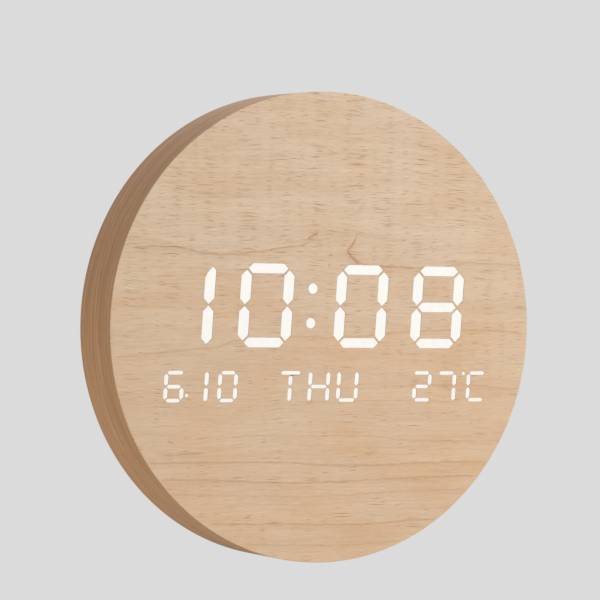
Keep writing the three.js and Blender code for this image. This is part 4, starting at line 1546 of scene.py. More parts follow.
@dataclass
class Display:
    """The veneer face, and the lit sheets whose segments stand in its windows."""

    rim_round: float = 0.25
    scorch: float = 0.07
    stock_growth: float = 1.03
    rim_margin: float = 2  # how near the rim a vertex is taken for the outline
    groups: tuple[str, ...] = ("hours", "minutes", "date", "weekday", "temperature")

    def build(self) -> None:
        """Cuts the windows in a fine round sheet and lights the segments."""
        box = Box.of("face_veneer")
        self._veneer(box)
        for group in self.groups:
            dress(f"{group}_diffuser", LIT)
            dress(f"{group}_reflector", WHITE)

    def _stock(self, box: Box) -> Piece:
        """The CAD veneer grown on all sides but its windows, so that it only cuts those.

        Args:
            box: The CAD node's box.

        Returns:
            The stock.
        """
        stock = Piece.copy_of("window_stock", "face_veneer")
        rim = (box.radius - self.rim_margin) * MM
        stock.on(
            Select.VERTICES,
            lambda v: math.hypot(v.co.x, v.co.z) > rim,
            scaled(self.stock_growth),
        )
        for level, shift in zip(box.y, (-SPARE, SPARE)):
            stock.on(
                Select.VERTICES,
                lambda v, level=level: abs(v.co.y - level * MM) < 1e-6,
                lambda shift=shift: bpy.ops.transform.translate(value=(0, shift * MM, 0)),
            )
        return stock

    def _veneer(self, box: Box) -> None:
        """The veneer, with the laser's browning round each window.

        Args:
            box: The CAD node's box.
        """
        front = box.y[0]
        veneer = Piece.disc("veneer_face", MIDDLE, box.radius, box.y, FINE_SIDES)
        veneer.round_rim(front, self.rim_round)
        veneer.keep_inside(self._stock(box))
        veneer.paint(FACE_MAPLE.material(), SCORCHED.material())
        veneer.obj.active_material_index = 1
        veneer.on_cap(
            front,
            lambda: bpy.ops.mesh.inset(
                thickness=self.scorch * MM, use_boundary=True, use_select_inset=True
            ),
            lambda: bpy.ops.object.material_slot_assign(),
        )
        edge = (box.radius - 1) * MM
        veneer.repaint(0, lambda f: f.calc_center_median().xz.length > edge)
        veneer.repaint(
            1,
            lambda f: abs(f.normal.y) < 0.5 and f.calc_center_median().xz.length < edge,
        )
        veneer.hand_in("root", "maple_face", ["face_veneer"])


@dataclass
class Drum:
    """The bentwood hoop, the veneer strip round it and the plywood panel inside its front."""

    strip: float = 0.6
    lip: float = 2.5
    inner_radius: float = 113
    cover_seat: float = -3.1
    seat: float = 0.1
    pilot_radius: float = 1.7
    pilot_spare: float = 0.5
    rear_round: float = 0.15
    notch: tuple[float, float, float] = (8, 7, 20)  # the cable notch's width, depth and reach

    def _notch(self, radius: float) -> Piece:
        """Cutter for the cable notch at the bottom of the rear edge.

        Args:
            radius: The outer radius of what it cuts.

        Returns:
            The cutter.
        """
        width, depth, reach = self.notch
        low = -radius - 2 * SPARE
        return Piece.block(
            "cutter", (-width / 2, width / 2), (-depth, SPARE), (low, reach - radius)
        )

    def build(self) -> None:
        """Builds the strip and the hoop and dresses the panel."""
        band = Box.of("edge_band")
        strip = Piece.hoop("veneer_band", band.radius, band.y)
        strip.on_all(lambda: bpy.ops.mesh.normals_make_consistent(inside=False))
        strip.modify("SOLIDIFY", thickness=self.strip * MM, offset=-1)
        strip.round_rim(band.y[1], self.rear_round, 2)
        strip.cut(self._notch(band.radius))
        strip.paint(EDGE_MAPLE.material()).hand_in("root", "maple_edge", ["edge_band"])

        box = Box.of("case_hoop")
        panel_seat = Box.of("front_panel").y[1] + self.seat
        levels = (box.y[0], panel_seat, self.cover_seat, box.y[1])
        hoop = Piece.hoop("bentwood_hoop", box.radius, levels)
        hoop.on_all(lambda: bpy.ops.mesh.normals_make_consistent(inside=False))
        hoop.modify("SOLIDIFY", thickness=self.lip * MM, offset=-1)
        rebate = (box.radius - self.lip) * MM
        shrink = self.inner_radius * MM / rebate
        hoop.on(
            Select.FACES,
            lambda f: abs(f.calc_center_median().xz.length - rebate) < 0.1 * MM
            and panel_seat * MM < f.calc_center_median().y < self.cover_seat * MM,
            lambda: bpy.ops.mesh.extrude_region_move(),
            scaled(shrink),
        )
        hoop.round_rim(box.y[1], self.rear_round, 2)
        screws = (Box.of(f"cover_screw_{i}") for i in range(1, 5))
        hoop.cut(
            self._notch(box.radius),
            *(rod(s.middle, self.pilot_radius, (s.y[0] - self.pilot_spare, 0)) for s in screws),
        )
        hoop.paint(BENTWOOD.material()).hand_in("root", "plywood", ["case_hoop"])
        dress("front_panel", PLYWOOD)


class Symbol(Enum):
    """A plain symbol sunk into a key or beside a control."""

    RING = "ring"
    UP = "up"
    DOWN = "down"
    BELL = "bell"


@dataclass(frozen=True)
class Engraving:
    """A symbol sunk into a surface that looks along +Y."""

    symbol: Symbol
    at: Place
    size: float
    surface: float
    depth: float = 0.18

    def cutters(self) -> list[Piece]:
        """The pieces that cut the symbol."""
        y = (self.surface - self.depth, self.surface + 1)
        if self.symbol is Symbol.RING:
            ring = rod(self.at, self.size, y)
            return [ring.cut(rod(self.at, self.size * 0.62, (y[0] - 1, y[1] + 1)))]
        if self.symbol is Symbol.BELL:
            return self._bell(y)
        arrow = Piece.disc("cutter", self.at, self.size, y, 3)
        pivot = (self.at.x * MM, 0, self.at.z * MM)
        highest = max(arrow.obj.data.vertices, key=lambda v: v.co.z).co
        points_up = abs(highest.x - pivot[0]) < 1e-6
        if points_up is not (self.symbol is Symbol.UP):
            arrow.on_all(half_turn(pivot, Axis.Y))
        return [arrow]

    def _bell(self, y: Span) -> list[Piece]:
        """A bell: a dome, its skirt and its clapper.

        Args:
            y: The cutters' Y span.

        Returns:
            The cutters.
        """
        s = self.size
        dome = rod(self.at.moved(0, 0.25 * s), 0.55 * s, y)
        skirt = Piece.slab("cutter", self.at.moved(0, -0.15 * s), (1.1 * s, 0.8 * s), y)
        brim = Piece.slab("cutter", self.at.moved(0, -0.62 * s), (1.7 * s, 0.22 * s), y)
        clapper = rod(self.at.moved(0, -0.95 * s), 0.16 * s, y)
        return [dome.join(skirt, brim), clapper]

    def print_on(self, piece: Piece) -> None:
        """Fills the sunk symbol with the piece's second material.

        Args:
            piece: The piece, painted with its two materials.
        """
        floor = (self.surface - self.depth) * MM
        piece.repaint(
            1,
            lambda f: across(f.normal, Axis.Y, 1)
            and abs(f.calc_center_median().y - floor) < 1e-5,
        )


@dataclass
class BackCover:
    """The moulded cover in the drum's rear rebate, with every hole that its fittings need."""

    thickness: float = 3
    clearance: float = 0.3
    counterbore_depth: float = 1.9
    shank_hole: float = 1.7
    boss_radius: float = 3.4
    boss_top: float = -11.9
    pin_radius: float = 1.4
    pin_top: float = -14.2
    hanger_pad: tuple[float, float] = (41, 29)
    hanger_pad_depth: float = -6
    hanger_floor: float = -2.1
    window_margin: float = 1.2
    sound_radius: float = 0.8
    sound_circle: float = 3.6
    sound_count: int = 6
    vent: tuple[float, float] = (12, 1.6)
    vent_pitch: float = 4
    vent_count: int = 3
    channel_width: float = 8
    slider_travel: float = 2
    sunk_field: float = 0.35
    field_margin: tuple[float, float] = (18, 17)  # past the outer keys and the slider
    bay_flange: float = 2
    bay_height: float = 44
    bell_shift: float = -10
    bell_size: float = 1.9

    @property
    def through(self) -> Span:
        """The Y span of a cutter that goes through the cover's sheet."""
        return (-self.thickness - SPARE, SPARE)

    def build(self) -> None:
        """Moulds the cover, cuts it and softens its edges."""
        radius = Box.of("back_cover").radius
        sheet = (-self.thickness, 0.0)
        cover = Piece.disc("rear_cover", MIDDLE, radius, sheet, FINE_SIDES)
        cover.round_rim(0, 0.4)
        cover.join(*self._bosses())
        cover.cut(*self._field(), *self._screw_holes(), *self._hanger_seat())
        bell = self._bell()
        cover.cut(*self._openings(radius), *self._grilles(), *bell.cutters())
        cover.paint(COVER_BLACK.material(), PRINT.material())
        bell.print_on(cover)
        cover.hand_in("root", "cover_plastic", ["back_cover"])

    def _bosses(self) -> list[Piece]:
        """The hanger's pad, the board's bosses and its two pins."""
        base = 1 - self.thickness
        hanger = Box.of("hanger_plate").middle
        left, right = (Box.of(f"control_screw_{i}").middle for i in (1, 2))
        pins = (Place(right.x, left.z), Place(left.x, right.z))
        pad = rounded_slab(hanger, self.hanger_pad, (self.hanger_pad_depth, base), 2)
        bosses = [rod(at, self.boss_radius, (self.boss_top, base)) for at in (left, right, *pins)]
        return [
            pad,
            *bosses,
            *(rod(at, self.pin_radius, (self.pin_top, self.boss_top + 1)) for at in pins),
        ]

    def _field(self) -> list[Piece]:
        """A shallow sunk field round the keys and the alarm switch."""
        left = Box.of("set_button_cap").middle
        right = Box.of("down_button_cap").middle
        slider = Box.of("alarm_slider").middle
        at = Place((left.x + right.x) / 2, (left.z + slider.z) / 2)
        width, height = self.field_margin
        size = (right.x - left.x + width, left.z - slider.z + height)
        return [rounded_slab(at, size, (-self.sunk_field, SPARE), 4)]

    def _screw_holes(self) -> list[Piece]:
        """Counterbores at the rim and pilots for the board's screws."""
        cutters = []
        for i in range(1, 5):
            screw = Box.of(f"cover_screw_{i}")
            cutters.append(
                rod(screw.middle, screw.radius + self.clearance, (-self.counterbore_depth, SPARE))
            )
            cutters.append(rod(screw.middle, self.shank_hole, self.through))
        for i in (1, 2):
            screw = Box.of(f"control_screw_{i}")
            cutters.append(
                rod(
                    screw.middle,
                    self.shank_hole,
                    (self.boss_top - SPARE, screw.y[1] + self.clearance),
                )
            )
        return cutters

    def _hanger_seat(self) -> list[Piece]:
        """Recess, window and pilots for the hanger plate."""
        hanger = Box.of("hanger_plate")
        width, height = hanger.size
        grown = (width + 2 * self.clearance, height + 2 * self.clearance)
        through = (self.hanger_pad_depth - SPARE, SPARE)
        keyhole = Keyhole()
        entry = hanger.middle.z - keyhole.drop
        half = keyhole.entry_radius + self.window_margin
        top = entry + keyhole.rise + keyhole.slot_radius + self.window_margin
        window = Piece.block("cutter", (-half, half), through, (entry - half, top))
        window.round_corners(2)
        screws = (Box.of(f"hanger_screw_{i}").middle for i in (1, 2))
        return [
            rounded_slab(hanger.middle, grown, (self.hanger_floor, SPARE), 3.2),
            window,
            *(rod(at, self.shank_hole, through) for at in screws),
        ]

    def _openings(self, radius: float) -> list[Piece]:
        """The bay, the cable channel, the battery opening, the keys and the slider.

        Args:
            radius: The cover's radius.

        Returns:
            The cutters.
        """
        through = self.through
        bay = Box.of("connector_bay")
        tub = (bay.size[0] - 2 * self.bay_flange + 2 * self.clearance, self.bay_height)
        bay_middle = Place(0, bay.z[1] + self.clearance - tub[1] / 2)
        door = Box.of("battery_door")
        side = door.size[0] + 2 * self.clearance
        door_middle = Place(door.middle.x, door.z[0] - self.clearance + side / 2)
        slider = Box.of("alarm_slider")
        knob = AlarmSlider()
        slot = (
            knob.knob[0] + self.slider_travel + 2 * self.clearance,
            knob.knob[1] + 2 * self.clearance,
        )
        keys = (Box.of(f"{name}_button_cap").middle for name in ("set", "up", "down"))
        return [
            rounded_slab(bay_middle, tub, through, 1),
            Piece.block(
                "cutter",
                (-self.channel_width / 2, self.channel_width / 2),
                through,
                (-radius - 2 * SPARE, bay.z[0] + 2 * self.bay_flange),
            ),
            rounded_slab(door_middle, (side, side), through, 1.2),
            rounded_slab(slider.middle.moved(self.slider_travel / 2, 0), slot, through, 0.7),
            *(rod(at, KeyCap.radius + self.clearance, through, ROUND_SIDES) for at in keys),
        ]

    def _grilles(self) -> list[Piece]:
        """Sound holes over the buzzer and slots over the temperature probe."""
        sound = Box.of("alarm_buzzer").middle
        turns = (2 * math.pi * i / self.sound_count for i in range(self.sound_count))
        ring = (
            sound.moved(self.sound_circle * math.cos(a), self.sound_circle * math.sin(a))
            for a in turns
        )
        holes = [rod(at, self.sound_radius, self.through, 20) for at in (sound, *ring)]
        board = Box.of("control_board")
        first = Place(
            board.x[1] + self.vent[0] / 2 + self.clearance,
            board.middle.z - self.vent_pitch * (self.vent_count - 1) / 2,
        )
        slots = [
            rounded_slab(first.moved(0, i * self.vent_pitch), self.vent, self.through, 0.79)
            for i in range(self.vent_count)
        ]
        return holes + slots

    def _bell(self) -> Engraving:
        """A bell beside the alarm switch."""
        slider = Box.of("alarm_slider").middle
        at = slider.moved(self.bell_shift, 0)
        return Engraving(Symbol.BELL, at, self.bell_size, -self.sunk_field)


@dataclass
class Keyhole:
    """The hanger's keyhole, measured from the plate's middle."""

    entry_radius: float = 5
    slot_radius: float = 2.6
    drop: float = 4
    rise: float = 10


@dataclass
class Hanger:
    """A stamped steel plate with the keyhole that the clock hangs by."""

    corner: float = 3
    pilot_radius: float = 1.7
    soft_edge: float = 0.12
    keyhole: Keyhole = field(default_factory=Keyhole)

    def build(self) -> None:
        """Stamps the plate."""
        box = Box.of("hanger_plate")
        through = (box.y[0] - 1, box.y[1] + 1)
        plate = Piece.slab("keyhole_plate", box.middle, box.size, box.y)
        plate.round_corners(self.corner)
        hole = self.keyhole
        entry = box.middle.moved(0, -hole.drop)
        plate.cut(
            rod(entry, hole.entry_radius, through, ROUND_SIDES),
            Piece.slab(
                "cutter",
                entry.moved(0, hole.rise / 2),
                (2 * hole.slot_radius, hole.rise),
                through,
            ),
            rod(entry.moved(0, hole.rise), hole.slot_radius, through),
            *(rod(Box.of(f"hanger_screw_{i}").middle, self.pilot_radius, through) for i in (1, 2)),
        )
        plate.soften(self.soft_edge)
        plate.paint(ZINC.material()).hand_in("root", "zinc_steel", ["hanger_plate"])


@dataclass
class Screw:
    """A pan-head screw with a cross recess, its head towards +Y, at the middle of the XZ plane."""

    length: float
    head_height: float
    radius: float = 1.45
    head_radius: float = 2.8
    pitch: float = 0.9
    root: float = 0.8  # the thread's inner radius as a share of its outer one
    tip: float = 1.5
    recess: tuple[float, float] = (3.0, 0.8)  # the cross's length and width
    recess_taper: float = 0.6
    point: float = 0.3  # the width left at the end of the tip

    def model(self) -> Piece:
        """Turns the head, the threads and the point, and presses the cross."""
        seat = (0.0, self.head_height)
        screw = Piece.disc("screw", MIDDLE, self.head_radius, seat, SMALL_SIDES)
        screw.round_rim(self.head_height, min(0.8, self.head_height * 0.6), 4)
        screw.on_cap(
            0,
            inset(self.head_radius - self.radius),
            *self._threads(),
        )
        depth = min(1.0, self.head_height * 0.75)
        y = (self.head_height - depth, self.head_height + 1)
        long, wide = self.recess
        cross = Piece.slab("cutter", MIDDLE, (long, wide), y)
        cross.join(Piece.slab("cutter", MIDDLE, (wide, long), y))
        cross.on(
            Select.VERTICES,
            lambda v: abs(v.co.y - y[0] * MM) < 1e-6,
            scaled(self.recess_taper),
        )
        return screw.cut(cross)

    def _threads(self) -> list[Callable[[], object]]:
        """Steps that draw the shank out of the head's seat, ridge by ridge, to its point."""
        turns = int((self.length - self.tip) / self.pitch)
        plain = self.length - self.tip - turns * self.pitch
        half = self.pitch / 2
        rings = [(max(plain, 0.1), self.root)]
        rings += [(half, 1 / self.root), (half, self.root)] * turns
        rings.append((self.tip, self.point))
        return [step for length, share in rings for step in (drawn(0, -length, 0), scaled(share))]


@dataclass
class Fixings:
    """Every screw of the clock, each kind modelled once."""

    pan_head: float = 1.7
    thin_head: float = 0.7

    def build(self) -> None:
        """Models and copies the screws."""
        self._kind("cover_screw", 4, self.pan_head)
        self._kind("display_screw", 4, self.pan_head)
        self._kind("hanger_screw", 2, self.thin_head)
        self._kind("control_screw", 2, self.pan_head, flipped=True)

    def _kind(self, node: str, count: int, head_height: float, flipped: bool = False) -> None:
        """Models one kind of screw and places its copies.

        Args:
            node: What its CAD nodes are called, before their numbers.
            count: How many there are.
            head_height: How tall its head is.
            flipped: Whether its head is towards the face.
        """
        boxes = [Box.of(f"{node}_{i + 1}") for i in range(count)]
        length = boxes[0].y[1] - boxes[0].y[0] - head_height
        model = Screw(length, head_height).model()
        if flipped:
            model.on_all(half_turn((0, 0, 0), Axis.Z))
        for i, box in enumerate(boxes):
            seat = box.y[0] + head_height if flipped else box.y[1] - head_height
            at = box.middle
            copy = model.twin(f"{node}_turned_{i + 1}", (at.x, seat, at.z))
            copy.paint(ZINC.material()).hand_in("root", "zinc_steel", [f"{node}_{i + 1}"])
        discard(model.obj)


@dataclass
class KeyCap:
    """A key with a dished top and a sunk symbol, flanged behind the cover."""

    name: str
    symbol: Symbol
    radius: float = 4.3
    flange: float = 1.0
    stem_radius: float = 2.0
    rim_round: float = 0.5
    dish: float = 0.2
    dish_steps: tuple[float, float] = (0.5, 0.6)
    symbol_size: float = 1.5

    def build(self) -> None:
        """Builds the key out of its flange."""
        node = f"{self.name}_button_cap"
        box = Box.of(node)
        at = box.middle
        flange = (FLANGE_REAR - self.flange, FLANGE_REAR)
        cap = Piece.disc(f"{self.name}_key", at, box.radius, flange, ROUND_SIDES)
        for level, end, radius in zip(flange[::-1], box.y[::-1], (self.radius, self.stem_radius)):
            cap.on_cap(level, inset(box.radius - radius), drawn(0, end - level, 0))
        cap.round_rim(box.y[1], self.rim_round, 4)
        cap.on_cap(box.y[1], *(inset(step, -0.5 * self.dish) for step in self.dish_steps))
        symbol = Engraving(self.symbol, at, self.symbol_size, box.y[1] - self.dish)
        cap.cut(*symbol.cutters())
        cap.paint(KEY_GREY.material(), PRINT.material())
        symbol.print_on(cap)
        cap.hand_in(f"{self.name}_button", "key_plastic", [node])


@dataclass
class AlarmSlider:
    """The alarm switch's slider, with a ribbed knob."""

    knob: tuple[float, float] = (4.4, 3.2)
    flange: float = 1.2
    stem: float = 1.6
    rib_pitch: float = 1.1
    rib_depth: float = 0.4
    bite: float = 0.1  # how far a joined block stops short of the flange's far side

    def build(self) -> None:
        """Builds the flange, the knob on it and the stem under it."""
        box = Box.of("alarm_slider")
        at = box.middle
        flange_front = FLANGE_REAR - self.flange
        slider = rounded_slab(at, box.size, (flange_front, FLANGE_REAR), 0.8)
        slider.obj.name = slider.obj.data.name = "alarm_slider_ribbed"
        slider.join(
            rounded_slab(at, self.knob, (flange_front + self.bite, box.y[1]), 0.5),
            Piece.slab("stem", at, (self.stem, self.stem), (box.y[0], FLANGE_REAR - self.bite)),
        )
        slider.soften(0.12)
        grooves = (
            Piece.slab(
                "cutter",
                at.moved(i * self.rib_pitch, 0),
                (self.rib_pitch / 2, self.knob[1] + SPARE),
                (box.y[1] - self.rib_depth, SPARE),
            )
            for i in (-1, 0, 1)
        )
        slider.cut(*grooves)
        slider.paint(KEY_GREY.material())
        slider.hand_in("alarm_switch_knob", "key_plastic", ["alarm_slider"])


@dataclass
class BatteryDoor:
    """The lid over the coin cell, with its two tongues, finger notch and grip."""

    corner: float = 1.0
    inner: float = -2.6
    outer: float = -0.1
    tongue: tuple[float, float] = (5, 1.1)  # width and thickness
    tongue_spread: float = 7
    tongue_root: float = 3
    notch: tuple[float, float, float] = (10, 2, 1.4)  # width, height and depth
    ribs: int = 4
    rib_pitch: float = 1.5
    rib: tuple[float, float, float] = (8, 0.6, 0.3)  # the first one's length, width and depth
    rib_taper: float = 1.6
    first_rib: float = 4.2

    def build(self) -> None:
        """Builds the lid, hooks its tongues on and sinks the grip."""
        box = Box.of("battery_door")
        side = box.size[0]
        low = box.z[0]
        at = Place(box.middle.x, low + side / 2)
        lid = rounded_slab(at, (side, side), (self.inner, self.outer), self.corner)
        lid.obj.name = lid.obj.data.name = "battery_lid_moulded"
        lid.round_rim(self.outer, 0.3, 3)
        spread = self.tongue_spread
        lid.join(*(self._tongue(at.moved(dx, side / 2), box.z[1]) for dx in (-spread, spread)))
        width, height, depth = self.notch
        low_edge = at.moved(0, -side / 2)
        sunk = (self.outer - depth, SPARE)
        scoop = rounded_slab(low_edge, (width, 2 * height), sunk, 1.2)
        rib_length, rib_width, rib_depth = self.rib
        grip = (
            rounded_slab(
                low_edge.moved(0, self.first_rib + i * self.rib_pitch),
                (rib_length - self.rib_taper * i, rib_width),
                (self.outer - rib_depth, SPARE),
                0.28,
            )
            for i in range(self.ribs)
        )
        lid.cut(scoop, *grip)
        lid.paint(COVER_BLACK.material())
        lid.hand_in("battery_lid", "cover_plastic", ["battery_door"])

    def _tongue(self, at: Place, top: float) -> Piece:
        """An L-shaped tongue that reaches under the cover's edge.

        Args:
            at: The middle of the tongue on the lid's upper edge.
            top: How high it reaches.

        Returns:
            The tongue, to be joined to the lid.
        """
        width, thickness = self.tongue
        x = (at.x - width / 2, at.x + width / 2)
        front = FLANGE_REAR - thickness
        root = at.z - self.tongue_root
        foot = Piece.block("tongue", x, (front, self.inner + 1), (root - 1, root + 1))
        return foot.join(Piece.block("blade", x, (front, FLANGE_REAR), (root, top)))


@dataclass
class PlugBay:
    """The moulded tub for the supply plug, and the socket at its top."""

    depth: float = 15.4
    wall: float = 1.6
    flange: tuple[float, float] = (2, 1.4)  # reach and thickness
    flange_rear: float = -3.1
    outer: float = -0.1
    channel: tuple[float, float] = (7.4, 7)  # width and depth
    clearance: float = 0.3
    shell_wall: float = 0.35
    mouth: float = 6
    shell_corner: float = 1.55
    tongue: tuple[float, float] = (6.6, 0.7)
    contact_pitch: float = 0.75
    contacts: int = 8
    contact: tuple[float, float] = (0.36, 0.03)  # width and how far it stands proud
    contact_ends: tuple[float, float] = (0.5, 0.3)

    def build(self) -> None:
        """Moulds the tub and assembles the socket."""
        box = Box.of("connector_bay")
        socket = Box.of("power_socket")
        reach, thickness = self.flange
        x = (box.x[0] + reach, box.x[1] - reach)
        z = (box.z[0] + reach, box.z[1])
        tub = Piece.block("plug_tub", x, (box.y[0], self.outer), z)
        tub.round_corners(1)
        front = self.flange_rear - thickness
        tub.join(Piece.block("flange", box.x, (front, self.flange_rear), box.z))
        wall = self.wall
        hollow = Piece.block(
            "cutter",
            (x[0] + wall, x[1] - wall),
            (-self.depth, 1),
            (z[0] + wall, z[1] - wall),
        ).round_corners(1.2)
        hollow.round_rim(-self.depth, 1.0)
        plug_y = sum(socket.y) / 2
        half = (socket.y[1] - socket.y[0]) / 2 + self.clearance
        opening = Piece.slab(
            "cutter",
            Place(0, z[1]),
            (socket.size[0] + 2 * self.clearance, 4 * wall),
            (plug_y - half, plug_y + half),
        ).round_corners(self.shell_corner, Axis.Z)
        width, depth = self.channel
        way = Piece.block(
            "cutter", (-width / 2, width / 2), (-depth, 1), (box.z[0] - 1, z[0] + wall + 1)
        )
        tub.cut(hollow, opening, way)
        tub.soften(0.15)
        tub.paint(COVER_BLACK.material()).hand_in("root", "cover_plastic", ["connector_bay"])
        self._socket(socket)

    def _socket(self, box: Box) -> None:
        """The socket's folded shell, and its tongue with a row of contacts.

        Args:
            box: The CAD node's box.
        """
        shell = Piece.block("socket_shell", box.x, box.y, box.z)
        shell.round_corners(self.shell_corner, Axis.Z)
        shell.on(
            Select.FACES,
            lambda f: across(f.normal, Axis.Z, -1),
            inset(self.shell_wall),
            drawn(0, 0, self.mouth),
        )
        shell.paint(NICKEL.material()).hand_in("root", "nickel_plate", ["power_socket"])
        width, thickness = self.tongue
        y = sum(box.y) / 2
        z = (box.z[0] + 1.2, box.z[0] + self.mouth + 0.2)
        tongue = Piece.block(
            "socket_tongue", (-width / 2, width / 2), (y - thickness / 2, y + thickness / 2), z
        )
        tongue.round_corners(0.2, Axis.Y, 2)
        wide, proud = self.contact
        half = thickness / 2 + proud
        length = (z[0] + self.contact_ends[0], z[1] - self.contact_ends[1])
        first = self.contact_pitch * (self.contacts - 1) / 2
        middles = (self.contact_pitch * i - first for i in range(self.contacts))
        tongue.join(
            *(
                Piece.block("strip", (x - wide / 2, x + wide / 2), (y - half, y + half), length)
                for x in middles
            )
        )
        tongue.paint(CHIP_BLACK.material(), BRASS.material())
        surface = (half - proud / 3) * MM
        tongue.repaint(1, lambda f: abs(f.calc_center_median().y - y * MM) > surface)
        tongue.hand_in("root", "chip_black")


@dataclass
class Backup:
    """The coin cell in its holder, under its contact strip."""

    rim: float = 2.4
    floor: float = 1.2
    thumb: float = 10
    clearance: float = 0.3
    contact_slot: float = 6.6
    sign: tuple[float, float] = (3.2, 0.7)  # the length and width of the plus sign's bars
    sign_drop: float = 4.4
    sign_depth: float = 0.16

    def build(self) -> None:
        """Builds the holder, the cell and the strip."""
        holder = Box.of("coin_cell_holder")
        cell = Box.of("coin_cell")
        at = cell.middle
        tray = Piece.disc("cell_tray", at, holder.radius, holder.y, ROUND_SIDES)
        inside = (holder.y[0] + self.floor, holder.y[1] + 1)
        out = holder.radius + 1
        tray.cut(
            rod(at, cell.radius + self.clearance, inside, ROUND_SIDES),
            Piece.slab("cutter", at.moved(0, -out / 2), (self.thumb, out), inside),
            Piece.slab("cutter", at.moved(0, out / 2), (self.contact_slot, out), inside),
        )
        tray.soften(0.2)
        tray.paint(CHIP_BLACK.material()).hand_in("root", "chip_black", ["coin_cell_holder"])

        can = Piece.disc("backup_cell", at, cell.radius, cell.y, ROUND_SIDES)
        can.round_rim(cell.y[1], 0.45, 4).round_rim(cell.y[0], 0.2, 2)
        can.on_cap(cell.y[1], inset(1.4), inset(0.12, -0.08))
        sunk = (cell.y[1] - self.sign_depth, cell.y[1] + SPARE)
        below = at.moved(0, -self.sign_drop)
        bars = (Piece.slab("cutter", below, bar, sunk) for bar in (self.sign, self.sign[::-1]))
        can.cut(next(bars).join(*bars))
        can.paint(NICKEL.material()).hand_in("root", "nickel_plate", ["coin_cell"])

        strip = Piece.copy_of("cell_strip", "coin_cell_contact")
        strip.soften(0.12)
        strip.paint(BRASS.material()).hand_in("root", "brass_strip", ["coin_cell_contact"])


@dataclass
class Electronics:
    """The circuit boards and what stands on them."""

    keys: tuple[str, ...] = ("set", "up", "down")
    soft_edge: float = 0.12
    board_depth: float = 1.65  # just more than the display board's thickness

    def build(self) -> None:
        """Dresses every remaining node."""
        board = Box.of("display_board")
        lamps = Circuit("display_circuit", lamp_front=board.y[1] - self.board_depth)
        dress("display_board", lamps)
        dress("control_board", Circuit("control_circuit"))
        plain: dict[str, Finish] = {
            "alarm_slide_switch": NICKEL,
            "alarm_buzzer": CHIP_BLACK,
            "supply_capacitor": CHIP_BLACK,
            "microcontroller": CHIP_BLACK,
            "clock_crystal": NICKEL,
            "cable_header": WHITE,
            "ribbon_cable": CABLE,
            "temperature_probe": CHIP_BLACK,
        }
        plain |= {f"{key}_tact_switch": CHIP_BLACK for key in self.keys}
        plain |= {f"{key}_plunger": WHITE for key in self.keys}
        plain |= {f"standoff_{i}": WHITE for i in range(1, 5)}
        for node, finish in plain.items():
            dress(node, finish)
            soften_node(node, self.soft_edge)


# ------------------------------------------------------------------ studio


@dataclass
class Lamp:
    """A soft rectangular light aimed at the clock."""

    name: str
    at: tuple[float, float, float]
    size: tuple[float, float]
    power: float
    colour: Colour = (1, 1, 1)
    target: tuple[float, float, float] = (0, -20, 0)

    def build(self) -> None:
        """Hangs the light."""
        data = bpy.data.lights.new(self.name, "AREA")
        data.shape = "RECTANGLE"
        data.size, data.size_y = (side * MM for side in self.size)
        data.energy = self.power
        data.color = self.colour
        lamp = bpy.data.objects.new(self.name, data)
        lamp.location = Vector(self.at) * MM
        towards = (Vector(self.target) - Vector(self.at)).to_track_quat("-Z", "Y")
        lamp.rotation_euler = towards.to_euler()
        bpy.context.scene.collection.objects.link(lamp)


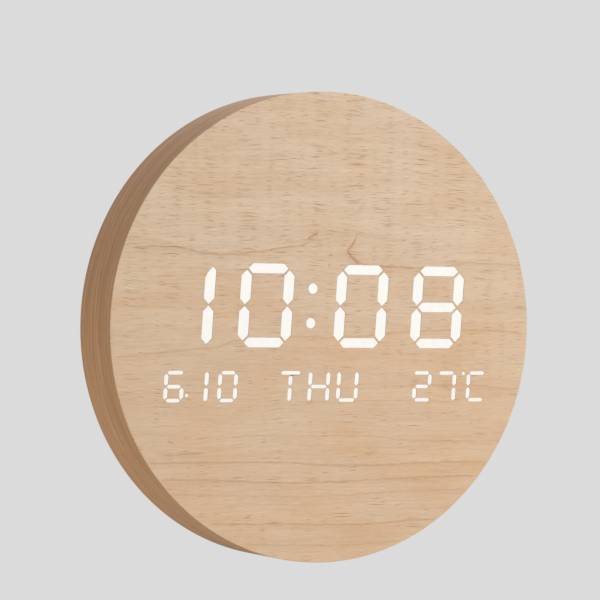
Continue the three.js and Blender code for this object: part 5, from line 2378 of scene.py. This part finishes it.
@dataclass
class StudioSet:
    """The camera, the lights, the floor and the plain surroundings."""

    yaw: float = -27.614
    elevation: float = 1.062
    roll: float = 1.052
    distance: float = 1701.3
    lens: float = 190.4
    shift: tuple[float, float] = (-0.01493, 0.04416)
    target: tuple[float, float, float] = (0, -19.25, 0)
    floor_level: float = -900
    floor_size: float = 3000
    backdrop: Colour = (0.7084, 0.7084, 0.7084)
    ambient: Span = (0.04, 0.62)  # the surroundings' light from below and from above

    def build(self) -> None:
        """Sets everything up."""
        bpy.context.scene.view_settings.view_transform = "Standard"
        self._camera()
        self._world()
        self._floor()
        for lamp in (
            Lamp("key", (900, -1700, 500), (900, 900), 25.8, (1.0, 0.985, 0.965)),
            Lamp("top", (-100, 200, 1600), (1200, 700), 5.4),
            Lamp("low_left", (-620, 140, -330), (300, 300), 2.0, (1.0, 0.95, 0.88)),
            Lamp("rear", (500, 1000, 1700), (900, 900), 13),
        ):
            lamp.build()

    def _camera(self) -> None:
        """Places the camera where it looks at the face from the left, nearly level."""
        yaw, rise, roll = (math.radians(a) for a in (self.yaw, self.elevation, self.roll))
        back = Vector(
            (math.sin(yaw) * math.cos(rise), -math.cos(yaw) * math.cos(rise), math.sin(rise))
        )
        right = Vector((math.cos(yaw), math.sin(yaw), 0))
        up = back.cross(right).normalized()
        tilted_right = right * math.cos(roll) + up * math.sin(roll)
        tilted_up = up * math.cos(roll) - right * math.sin(roll)
        data = bpy.data.cameras.new("camera")
        data.lens = self.lens
        data.sensor_width = 36
        data.shift_x, data.shift_y = self.shift
        data.clip_start, data.clip_end = 0.05, 50
        camera = bpy.data.objects.new("camera", data)
        axes = Matrix((tilted_right, tilted_up, back)).transposed().to_4x4()
        place = (Vector(self.target) + back * self.distance) * MM
        camera.matrix_world = Matrix.Translation(place) @ axes
        bpy.context.scene.collection.objects.link(camera)
        bpy.context.scene.camera = camera

    def _world(self) -> None:
        """Pale surroundings that the camera sees brighter than they light the clock."""
        world = bpy.data.worlds.new("studio")
        bpy.context.scene.world = world
        world.use_nodes = True
        world.node_tree.nodes.clear()
        sheet = Sheet(world.node_tree)
        ways = sheet.node("ShaderNodeLightPath")
        background = sheet.node("ShaderNodeBackground")
        output = sheet.node("ShaderNodeOutputWorld")
        sheet.feed(background.inputs["Color"], self.backdrop)
        _, _, height = sheet.separate(sheet.node("ShaderNodeTexCoord").outputs["Generated"])
        ambient = sheet.smooth(height, -0.6, 0.5, *self.ambient)
        strength = sheet.smooth(ways.outputs["Is Camera Ray"], 0.0, 1.0, ambient, 1.0)
        sheet.feed(background.inputs["Strength"], strength)
        sheet.feed(output.inputs["Surface"], background.outputs[0])

    def _floor(self) -> None:
        """A plain pale floor under the hanging clock."""
        side = (-self.floor_size / 2, self.floor_size / 2)
        floor = Piece.block("floor", side, side, (self.floor_level - 20, self.floor_level))
        floor.soften(4)
        floor.paint(FLOOR.material())


# ------------------------------------------------------------------ the clock


def main() -> None:
    """Loads the frame and builds every part of the clock round it."""
    logging.basicConfig(level=logging.INFO, format="%(name)s: %(message)s")
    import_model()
    StudioSet().build()
    parts = (
        Display(),
        Drum(),
        BackCover(),
        Hanger(),
        Fixings(),
        KeyCap("set", Symbol.RING),
        KeyCap("up", Symbol.UP),
        KeyCap("down", Symbol.DOWN),
        AlarmSlider(),
        BatteryDoor(),
        PlugBay(),
        Backup(),
        Electronics(),
    )
    for part in parts:
        part.build()
    clear_selection()


if __name__ == "__main__":
    main()
